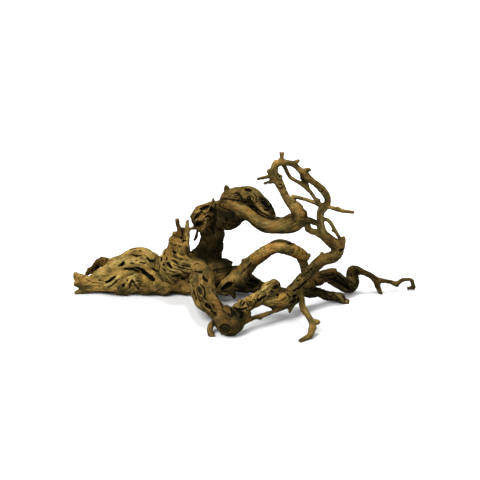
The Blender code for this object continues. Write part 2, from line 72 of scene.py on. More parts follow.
# Each limb: strand depth (share of the radius), strand count, twist (turns per 100 mm), look, then its
# route as (across, up, back, radius).
limbs = {
    "log_low": (0.13, 5, 0.5, (0.5, 1.2, 0.35), [
        (-272, 18, 0, 9), (-264, 16.5, 0, 12), (-252, 12.5, 0, 11.5), (-236, 14, 0, 12.5),
        (-214, 17, -2, 20), (-190, 18, -3, 20), (-165, 18, -3, 20), (-140, 19, -2, 21.5), (-110, 19, 0, 22),
        (-80, 20, 4, 21), (-58, 20, 8, 20)]),
    "log_high": (0.15, 4, -0.6, (0.5, 1.15, 0.2), [
        (-262, 13, 3, 8), (-246, 22, 5, 10), (-226, 33, 8, 12.6), (-206, 41.5, 10, 17),
        (-186, 49, 12, 21.2), (-168, 52.5, 14, 21.3), (-150, 42, 13, 18.4), (-128, 37, 10, 20),
        (-104, 34, 8, 20)]),
    "log_fold": (0.12, 3, 0.8, (0.55, 1.15, 0.2), [
        (-222, 12, -8, 9), (-206, 20, -12, 11), (-192, 25, -15, 11), (-178, 22, -16, 11),
        (-164, 12, -14, 10), (-146, 12, -12, 10), (-120, 14, -12, 12)]),
    "log_back": (0.14, 4, 0.7, (1.0, 0.7, 0.2), [
        (-240, 20, 16, 8), (-215, 28, 24, 14), (-185, 32, 28, 18), (-150, 30, 28, 20), (-115, 32, 26, 22),
        (-80, 34, 20, 23), (-56, 32, 18, 22)]),
    "end_prong_top": (0.1, 3, 0.0, plainLook, [(-267, 21, 1, 9), (-274.5, 27, 2, 6.2), (-277.5, 33, 2, 3)]),
    "end_prong_mid": (0.1, 3, 0.0, plainLook, [
        (-269, 15, -3, 8), (-276.5, 14, -5, 4.6), (-280, 14, -5, 2.6)]),
    "end_prong_low": (0.1, 3, 0.0, plainLook, [
        (-257, 6, -2, 7), (-268, 2.5, -4, 4.8), (-278, -0.5, -5, 2.8)]),
    "back_stub": (0.12, 4, 1.0, (1.4, 0.2, 0.9), [
        (-216, 38, 22, 13), (-226, 46, 30, 10), (-235, 50, 36, 8), (-241.5, 47, 38, 6.6),
        (-247, 39.5, 40, 6.4), (-253, 35.5, 41, 5.4), (-258, 32, 42, 4.2), (-262.5, 28, 43, 2.4)]),
    "stub_tooth": (0.0, 3, 0.0, (1, 0.2, 0.9), [(-252, 37.5, 41, 4), (-259.5, 38, 42, 1.8)]),
    "stub_tooth_top": (0.0, 3, 0.0, (1, 0.2, 0.9), [(-240, 46, 37, 5), (-248, 46.5, 38, 2)]),
    "log_saddle": (0.1, 4, 0.5, (0.9, 0.3, 0.1), [
        (-166, 48, 16, 12), (-148, 48.5, 16, 11), (-132, 49, 12, 10)]),
    "knot_left": (0.16, 5, 1.0, (1.0, 1.3, 0.15), [
        (-128, 22, -8, 18), (-122, 40, -8, 19), (-114, 56, -6, 19), (-108, 72, -5, 15.5),
        (-107, 84, -4, 12.5)]),
    "knot_hump": (0.1, 4, 0.5, (0.9, 1.15, 0.15), [
        (-130, 36, -7, 11), (-129, 50, -7, 12), (-126, 62, -6, 10.5), (-118, 71, -5, 9)]),
    "knot_neck": (0.1, 4, 0.5, (1.0, 0.6, 0.6), [
        (-116, 68, -5, 11), (-116, 82, -5, 11.2), (-115, 90, -6, 8.2)]),
    "knot_right": (0.15, 5, -0.8, (1.0, 1.3, 0.15), [
        (-132, 45, -12, 12), (-116, 45, -20, 16), (-98, 44, -24, 16), (-80, 42, -24, 15),
        (-66, 36, -24, 14)]),
    "knot_cap": (0.1, 3, 0.0, (1.0, 0.4, 0.4), [
        (-114, 80, -6, 8), (-115.2, 90, -7, 4.6), (-115.2, 99, -8, 3.1)]),
    "stub_tall": (0.1, 4, 1.5, (0.9, 0.5, 0.8), [
        (-106, 80, -4, 9), (-105.5, 92, -4, 5.6), (-107.5, 103, -5, 3.9), (-110, 112, -6, 3.6),
        (-110.8, 120, -6, 3.4)]),
    "stub_shard": (0.1, 3, 1.0, (1.1, 1.3, 0.1), [
        (-98, 66, -6, 10), (-96, 84, -6, 6.2), (-95, 97, -6, 4.2), (-94.5, 108, -6, 3.2),
        (-95, 115, -6, 2.8)]),
    "trunk": (0.13, 6, 0.5, (1.2, 0.08, 0.3), [
        (-70, 26, 14, 30), (-64, 46, 14, 27), (-59, 64, 12, 22.5), (-56, 80, 10, 20.5),
        (-54.2, 93, 8, 17.2), (-57.8, 104, 6, 17.4)]),
    "head": (0.13, 5, 0.3, (1.2, 0.34, 0.8), [
        (-55, 92, 8, 14), (-57.5, 103, 6, 17.2), (-64, 119, 3, 23.5), (-59, 125, 2, 22.5),
        (-50, 129, 0, 20.5)]),
    "head_bridge": (0.1, 4, 0.4, (0.9, 0.12, 0.4), [
        (-54, 138, 2, 8), (-46, 142, 0, 7.5), (-37, 143, -2, 7)]),
    "burl": (0.1, 5, -0.7, (1.2, 0.3, 0.5), [
        (-60, 128, 2, 20), (-44, 127, -2, 21), (-28, 127, -6, 23), (-14, 132, -10, 20), (0, 136, -14, 15)]),
    "arch_flap": (0.1, 4, 0.9, (0.25, 0.36, 0.1), [
        (-34, 139, 4, 15), (-22, 149, 4, 18), (-6, 153.5, 2, 19.5), (8, 152, -2, 18), (22, 142, -5, 15),
        (34, 132, -8, 12), (42, 125, -10, 7), (44, 120, -14, 4)]),
    "swan_limb": (0.05, 4, 0.12, (0.35, 0.37, 0.8), [
        (-28, 128, -16, 14), (-12, 130.5, -24, 13.6), (4, 127.6, -30, 12.4), (18, 117.4, -36, 12.2),
        (32, 109.6, -41, 12.2), (48, 107.5, -46, 12.5), (64, 108.5, -50, 13), (78, 112.5, -52, 13),
        (86, 121, -53, 12.2), (83, 130, -54, 10)]),
    "riser": (0.05, 4, 0.15, (0.5, 1.15, 0.3), [
        (86, 118, -53, 11.5), (83, 129, -54, 11.5), (76, 139.5, -56, 9.4), (68, 148, -58, 7.2),
        (62, 156, -60, 6), (57, 167, -61, 6.7), (50.5, 180, -62, 7.4), (45, 192, -62, 5.8),
        (45.5, 202, -62, 5.8), (50.5, 209.5, -62, 6.2)]),
    # A thin, nearly black strand beside the riser.
    "riser_dark_strand": (0.1, 4, 0.0, (1.0, 0.08, 0.1), [
        (72, 148, -50, 3.5), (80, 144, -50, 4.5), (88, 136, -50, 4.5)]),
    "swan_back": (0.08, 4, 0.6, (0.6, 0.2, 0.1), [
        (70, 112, -42, 9), (82, 119, -42, 9.5), (90, 124, -46, 8.5), (92, 132, -50, 5)]),
    "swan_ridge": (0.1, 4, 0.6, (0.8, 0.06, 0.1), [
        (47, 119, -40, 5), (57, 116.5, -40, 6), (65, 119, -42, 6), (74, 124, -44, 6), (80, 130, -46, 4)]),
    "crown_stub": (0.1, 4, 0.0, (1.0, 0.35, 0.3), [
        (53, 207, -62, 6), (56, 213, -62, 4), (56.3, 218, -62, 2.6), (56.5, 223, -62, 3.2)]),
    "riser_knot": (0.0, 3, 0.0, (0.1, 0.5, 0.4), [
        (49, 183, -62, 5), (53, 185, -68, 4.6), (54, 184.5, -72, 4.2)]),
    "riser_knot_low": (0.0, 3, 0.0, (0.1, 0.45, 0.4), [(52, 172, -60, 5), (54.5, 172.5, -70, 4.4)]),
    "hoop": (0.09, 4, 0.3, (0.6, 0.4, 0.4), [
        (54, 209, -62, 6), (64, 208, -63, 4.6), (74, 205.5, -65, 4.4), (84, 197.5, -67, 4.6),
        (92, 189.5, -69, 6.2), (101, 181.5, -70, 5.4), (111, 174, -70, 5.4), (121, 165, -70, 6),
        (128, 155, -70, 5.8), (129.5, 146, -70, 5), (125, 138, -70, 5.6), (118.5, 130, -71, 7),
        (118, 118, -72, 6), (119.5, 106, -72, 6.2), (123, 96, -72, 7.2), (132, 86, -71, 9),
        (142, 78, -70, 10.2), (146.5, 68, -71, 9.4), (138, 58.5, -75, 8.8), (122, 53.5, -80, 9.8),
        (108, 41.5, -86, 9), (95, 28, -90, 8.8), (83, 15.5, -94, 9), (72, 3, -97, 11)]),
    "hoop_fin": (0.05, 3, 0.0, plainLook, [(70, 206, -64, 4), (78, 208, -66, 3.6), (84, 212.5, -67, 2)]),
    "hoop_lump": (0.05, 3, 0.0, (1.0, 0.1, 0.2), [
        (95, 190, -69, 5), (89, 184, -68, 3.6), (93, 178, -67, 3)]),
    "inner_twig": (0.06, 3, 0.8, (0.5, 0.55, 0.2), [
        (56, 208, -62, 4), (62, 200, -60, 2.8), (69, 186.5, -58, 2.7), (79, 179.5, -60, 2.8),
        (91, 173, -64, 3.8), (101, 163, -67, 2.8), (108, 153.5, -69, 2.8), (115, 144.5, -70, 3.2),
        (123, 139, -70, 3.6)]),
    "cross_stick": (0.05, 3, 0.6, (0.5, 0.55, 0.2), [
        (72, 156, -50, 2.8), (88, 152, -52, 2.8), (104, 147, -58, 3), (120, 140.5, -66, 3.4),
        (132, 137.5, -74, 3), (145, 134, -80, 3.4), (158, 131, -86, 2.6), (171, 129.5, -92, 2.3)]),
    "bridge_top": (0.08, 4, 0.5, (0.8, 0.2, 0.3), [
        (86, 121, -48, 8), (96, 118, -54, 6), (105, 115.5, -62, 4.6), (117, 110.5, -71, 4.2)]),
    "bridge_low": (0.08, 4, 0.5, (0.8, 0.35, 0.3), [
        (90, 116, -50, 7), (98, 108.5, -56, 4.8), (103, 99.5, -62, 4.2), (112, 97, -68, 4.8),
        (122, 92, -72, 6)]),
    "outer_twig": (0.05, 3, 0.6, (0.5, 0.6, 0.2), [
        (119, 117, -72, 3), (127, 118.5, -74, 2.6), (132.5, 115, -76, 2.8), (139, 105.5, -77, 2.6),
        (145, 95, -76, 2.6), (150, 87, -74, 2.4), (151, 80, -72, 4)]),
    "spur_long": (0.05, 3, 0.0, (0.9, 0.35, 0.4), [
        (44, 186, -62, 5), (35, 186, -64, 3.2), (27, 184, -66, 2.6), (17, 181.5, -67, 1.8)]),
    "spur_short": (0.05, 3, 0.0, (0.9, 0.4, 0.4), [
        (46, 179, -62, 4), (38, 177.5, -65, 2.6), (31, 176, -67, 2), (29, 174, -67, 1.9)]),
    "horn": (0.05, 3, 0.0, (0.9, 0.25, 0.3), [
        (-29, 152, 6, 5), (-31, 160, 5, 3.2), (-33, 167, 4, 2.8), (-31.5, 173.5, 3, 2.3)]),
    "head_nub": (0.0, 3, 0.0, (0.8, 0.05, 0.1), [(-83, 121, 2, 5), (-89, 126, 2, 2.4)]),
    "head_spike": (0.05, 3, 0.0, (1.0, 0.35, 0.5), [
        (-54, 142, -2, 6), (-52.6, 149, -2, 2.6), (-52.2, 153, -2, 1.6)]),
    "head_splinter": (0.05, 3, 0.0, (0.8, 0.15, 0.2), [
        (-95, 100, -6, 2.6), (-87, 104, -4, 2), (-76, 107, 0, 3)]),
    "head_hook": (0.05, 3, 0.0, (0.8, 0.02, 0.0), [
        (-75, 104, 2, 3.2), (-79.6, 98, 3, 2.1), (-79.4, 93, 4, 2), (-81.6, 88.5, 4, 1.9),
        (-84.8, 85, 4, 1.7)]),
    "arm": (0.08, 4, 0.15, (0.35, 0.82, 0.8), [
        (-46, 3, -38, 4.5), (-36, 7, -40, 12), (-25, 14, -42, 14.5), (-12, 25, -46, 14),
        (-1, 38, -50, 12.8), (9, 50, -54, 11.2), (22, 60, -58, 10.2), (36, 69.5, -61, 10),
        (49, 75, -62, 11.3), (62, 74, -62, 10.9), (75, 69.5, -61, 10.4), (87, 63, -60, 10.2),
        (96, 59, -60, 8), (101, 60, -60, 4.6)]),
    "arm_spike": (0.05, 3, 0.0, plainLook, [(4, 49, -52, 8), (-2, 51, -52, 6), (-7.5, 53, -52, 3)]),
    "arm_nub": (0.05, 3, 0.0, plainLook, [(62, 78, -62, 5.5), (62.5, 84, -62, 3)]),
    "arm_down": (0.1, 4, 0.5, (0.8, 0.2, 0.3), [
        (88, 60, -58, 8.5), (93, 46, -60, 7), (95, 34, -66, 7), (96, 22, -72, 7)]),
    "root_back": (0.13, 5, 0.5, (0.8, 0.09, 0.3), [
        (-74, 32, 12, 28), (-48, 32, 2, 27), (-30, 23, -3, 24), (-13, 22, -7, 23.5), (0, 17, -11, 18),
        (16, 11, -16, 11.5), (40, 3, -28, 9.5), (64, 0, -44, 8.5), (86, 2, -56, 9.5)]),
    "leg": (0.11, 5, 0.2, (0.5, 0.35, 0.4), [
        (-92, 44, -16, 13), (-78, 38, -30, 15), (-70, 26, -46, 17.5), (-68, 11, -66, 19),
        (-64, -5, -89, 18.5), (-55, -19, -112, 16), (-43, -31, -131, 13.8), (-35, -41, -147, 17),
        (-28, -47, -154, 21)]),
    "leg_rim": (0.1, 3, 0.8, (0.9, 0.7, 0.1), [
        (-84, 26, -44, 8), (-83, 12, -62, 8.5), (-80, -2, -82, 7.5), (-74, -16, -105, 6.5),
        (-63, -25, -122, 6)]),
    "elbow": (0.06, 4, 0.2, (0.35, 0.2, 1.0), [
        (-35, -25, -128, 10), (-30, -34, -141, 16), (-27, -46, -152, 21.5), (-20, -45, -152, 19),
        (-11, -38, -149, 14.5)]),
    "claw": (0.08, 3, 0.6, (0.8, 0.5, 0.5), [
        (-44, -44, -142, 7), (-52, -46, -146, 5.4), (-57, -53, -151, 5), (-56.5, -62, -157, 4.8),
        (-53, -69, -160, 3.4)]),
    "forearm": (0.14, 4, 0.8, (0.75, 0.95, 0.1), [
        (-16, -40, -148, 15), (-8, -24, -142, 12.5), (4, -15.5, -134, 12), (18, -9, -124, 11.5),
        (32, 1.5, -114, 12), (41, 8, -107, 12), (46, 11, -103, 12)]),
    "forearm_end": (0.0, 3, 0.0, (0.9, 0.5, 0.1), [
        (38, 6, -108, 10), (46, 12.5, -108, 10.5), (50, 14, -110, 9)]),
    "forearm_low": (0.08, 3, 0.5, (1.0, 0.25, 0.3), [
        (-14, -40, -146, 14), (-4, -36, -140, 10), (4, -26, -134, 7)]),
    "wrist": (0.07, 4, 0.2, (0.6, 0.75, 0.5), [
        (22, -9, -124, 7.5), (36, -11, -116, 11), (50, -11, -108, 13.5), (62, -9.5, -102, 13),
        (73, -4, -98, 12.5)]),
    "wrist_low": (0.07, 3, 0.5, (0.8, 0.3, 0.2), [
        (44, -18, -112, 5), (58, -19, -106, 6), (70, -16, -100, 7), (80, -8, -92, 8), (88, 2, -82, 8)]),
    "wrist_spur": (0.05, 3, 0.0, plainLook, [(74, -17, -100, 5), (71, -25, -104, 3), (69, -31, -107, 1.7)]),
    "bow_twig": (0.05, 3, 0.8, (0.6, 0.26, 0.4), [
        (-8, -46, -148, 5), (4, -42, -142, 3.6), (14, -37.5, -137, 3.4), (22, -36, -133, 3.9),
        (36, -31, -125, 3), (50, -26, -116, 3.2), (62, -21, -106, 4.4)]),
    "paw": (0.07, 3, 0.6, (0.6, 0.5, 0.1), [
        (84, 6, -86, 7), (88.5, -6, -96, 4.8), (89.5, -17, -108, 4.8), (93, -26.5, -120, 5.4),
        (100, -37, -136, 4.6), (105, -47, -148, 5.4), (104, -57, -160, 5.2), (101, -65, -169, 4.8),
        (94, -69.5, -174, 4.2), (89, -72.5, -177.5, 4), (84, -75.5, -181, 4)]),
    "paw_lump": (0.05, 3, 0.0, plainLook, [
        (103, -45, -147, 5), (112, -44.5, -149, 4), (117, -46, -151, 2.8)]),
    "paw_lump_low": (0.05, 3, 0.0, plainLook, [(104, -53, -158, 4.5), (112, -55, -159, 2.8)]),
    "joint_mass": (0.08, 4, 0.5, (0.7, 0.45, 0.3), [
        (74, 0, -92, 12), (84, 4, -78, 11), (94, 9, -66, 10.5)]),
    "root_right": (0.12, 4, 0.2, (0.9, 0.14, 0.6), [
        (78, 3, -66, 10), (96, 11, -58, 10), (110, 20, -48, 11.5), (126, 27, -38, 10.5),
        (141, 26, -28, 10.5), (153, 20, -18, 10), (163, 13.5, -9, 11.5), (171, 13, -3, 11), (175, 20, 1, 9),
        (171, 29, 3, 8)]),
    "root_plate": (0.1, 3, 0.0, (0.7, 0.22, 0.6), [
        (112, 27, -46, 6), (126, 32, -40, 6), (138, 35, -34, 5.5), (146, 35.5, -30, 4.5)]),
    "root_strand": (0.1, 3, 0.3, (0.8, 0.25, 0.3), [
        (128, 22, -38, 3), (138, 17, -33, 4.2), (148, 12, -29, 5.2), (157, 7, -24, 5), (165, 2.5, -18, 3)]),
    "root_neck": (0.08, 4, 0.9, (0.9, 0.17, 0.4), [
        (172, 18, 0, 9), (170, 27, 2, 8.5), (172.5, 35.5, 4, 8.8), (182, 35.5, 5, 7), (191, 33, 5, 4.7),
        (203, 27.5, 5, 5), (212, 20.5, 4, 5.6), (222, 19.6, 4, 3.9), (234, 17.5, 6, 3), (243, 14.5, 8, 4),
        (248, 16, 8, 3.6), (254, 20.5, 9, 3), (264, 21.6, 10, 2.8), (269.5, 19.5, 10, 3.1),
        (272, 13, 9, 3.2), (273, 7.5, 9, 3)]),
    "root_nub": nub((245, 14, 8, 3.6), (246, 9, 8, 1.8)),
    "root_hook": (0.05, 3, 0.0, (0.9, 0.15, 0.3), [(275, 8, 9, 2.8), (269, 8, 9, 2.4), (262, 6.5, 9, 2)]),
    "root_spur": (0.05, 3, 0.0, (0.8, 0.25, 0.4), [
        (211, 20, 4, 5), (214, 11, 1, 4.6), (217, 3, -3, 3.6), (221, -3.5, -8, 2)]),
    "root_front": (0.14, 4, 0.3, (1.3, 0.12, 0.1), [
        (84, 4, -60, 9), (101, 1, -52, 7.6), (116, 1.5, -45, 8), (130, -4, -42, 8), (142, -5.5, -40, 7.6),
        (152, -7.5, -40, 8), (158, -13.5, -39, 4.8), (167, -15.5, -39, 4)]),
    "stub_dark": (0.1, 3, 0.0, (1.0, 0.15, 0.8), [
        (-103, 86, -2, 5), (-102, 98, -2, 3.8), (-101.6, 106, -2, 2.8)]),
    "trunk_foot": (0.1, 4, 0.3, (1.0, 0.07, 0.1), [
        (-97, 56, 0, 8), (-88, 57, 5, 9), (-78, 64, 9, 10), (-70, 76, 10, 8)]),
    "shard_split": nub((-95, 110, -6, 2.4), (-93, 118.5, -6, 1.4)),
    "horn_sliver": nub((-31.5, 160, 4, 2.4), (-29, 168, 4, 1.6), (-28, 171.5, 4, 1.4)),
    "spur_barb": nub((43, 189, -63, 3), (39, 192.5, -64, 2), (32.5, 193.5, -65, 1.5)),
    "spur_barb_top": nub((38, 193, -65, 1.7), (34.5, 198, -65, 1.4)),
    "crown_fork_left": nub((55.8, 219, -62, 2.4), (54, 226, -62, 1.6)),
    "crown_fork_right": nub((57, 219, -62, 2.4), (59.3, 226, -62, 1.6)),
    "hoop_hook": nub(
        (86, 193, -68, 3.4), (92, 196.5, -68, 2), (99, 197.5, -69, 1.7), (102.5, 194.5, -69, 1.5)),
    "hoop_side_link": (0.05, 3, 0.0, plainLook, [
        (93, 182, -68, 3), (96, 175, -67, 2.4), (99, 170, -66, 2)]),
    "hoop_nub": nub((123, 89, -72, 4), (123, 83.5, -72, 1.8)),
    "twig_nub": nub((70, 187, -58, 2.6), (68.5, 182.5, -58, 1.5)),
    "twig_nub_low": nub((113, 147, -70, 2.8), (117, 151, -70, 1.5)),
    "stick_nub": nub((144, 134, -80, 2.8), (146.5, 138.5, -80, 1.6)),
    "outer_nub": nub((141, 104, -76, 2.4), (136.5, 99, -76, 1.5)),
    "outer_sliver": nub((154, 72, -72, 3), (157, 84, -72, 1.7), (155, 92, -72, 1.4)),
    "bridge_nub": (0.05, 3, 0.0, plainLook, [(96, 105, -56, 4), (100.5, 98, -58, 2.2)]),
    "bridge_strand": (0.05, 3, 0.6, plainLook, [
        (97, 109, -56, 3), (104, 102.5, -61, 2.4), (112, 101, -68, 2.4), (120, 101, -72, 3)]),
    "arm_tip_nub": nub((99, 61, -60, 3.4), (104, 62, -60, 1.8)),
    "arm_drip": (0.05, 3, 0.0, plainLook, [(-20, -2, -44, 4.5), (-18, -9, -43, 1.9)]),
    "knee_nub": nub((121, 60, -80, 4), (121, 67, -80, 1.8)),
    "knee_nub_low": nub((119, 48, -82, 5), (119, 40.5, -82, 2)),
    "claw_tip": nub((-54, -68, -159, 3), (-50, -69.5, -159.5, 2), (-48.8, -66.5, -159, 1.6)),
    "forearm_tip": (0.05, 3, 0.0, plainLook, [
        (42, 14, -104, 8), (43.5, 20, -103, 5), (43.8, 23.5, -103, 2.6)]),
    "bow_nub": nub((22, -37, -133, 3.4), (23, -41.5, -134, 1.7)),
    "paw_nub": nub((103, -56, -160, 4), (99, -57, -160, 1.6)),
    "paw_nub_low": nub((101, -66, -170, 4), (105, -68.5, -171, 1.7)),
}


# Hollows, creases, knots, and tints that are partly painted shade and painted highlights

def ring(x, y, wide, high, half):
    # A closed oval line for the tables below.
    turns = (math.tau * i / 14 for i in range(15))
    return [(x + wide * math.cos(turn), y + high * math.sin(turn), half) for turn in turns]


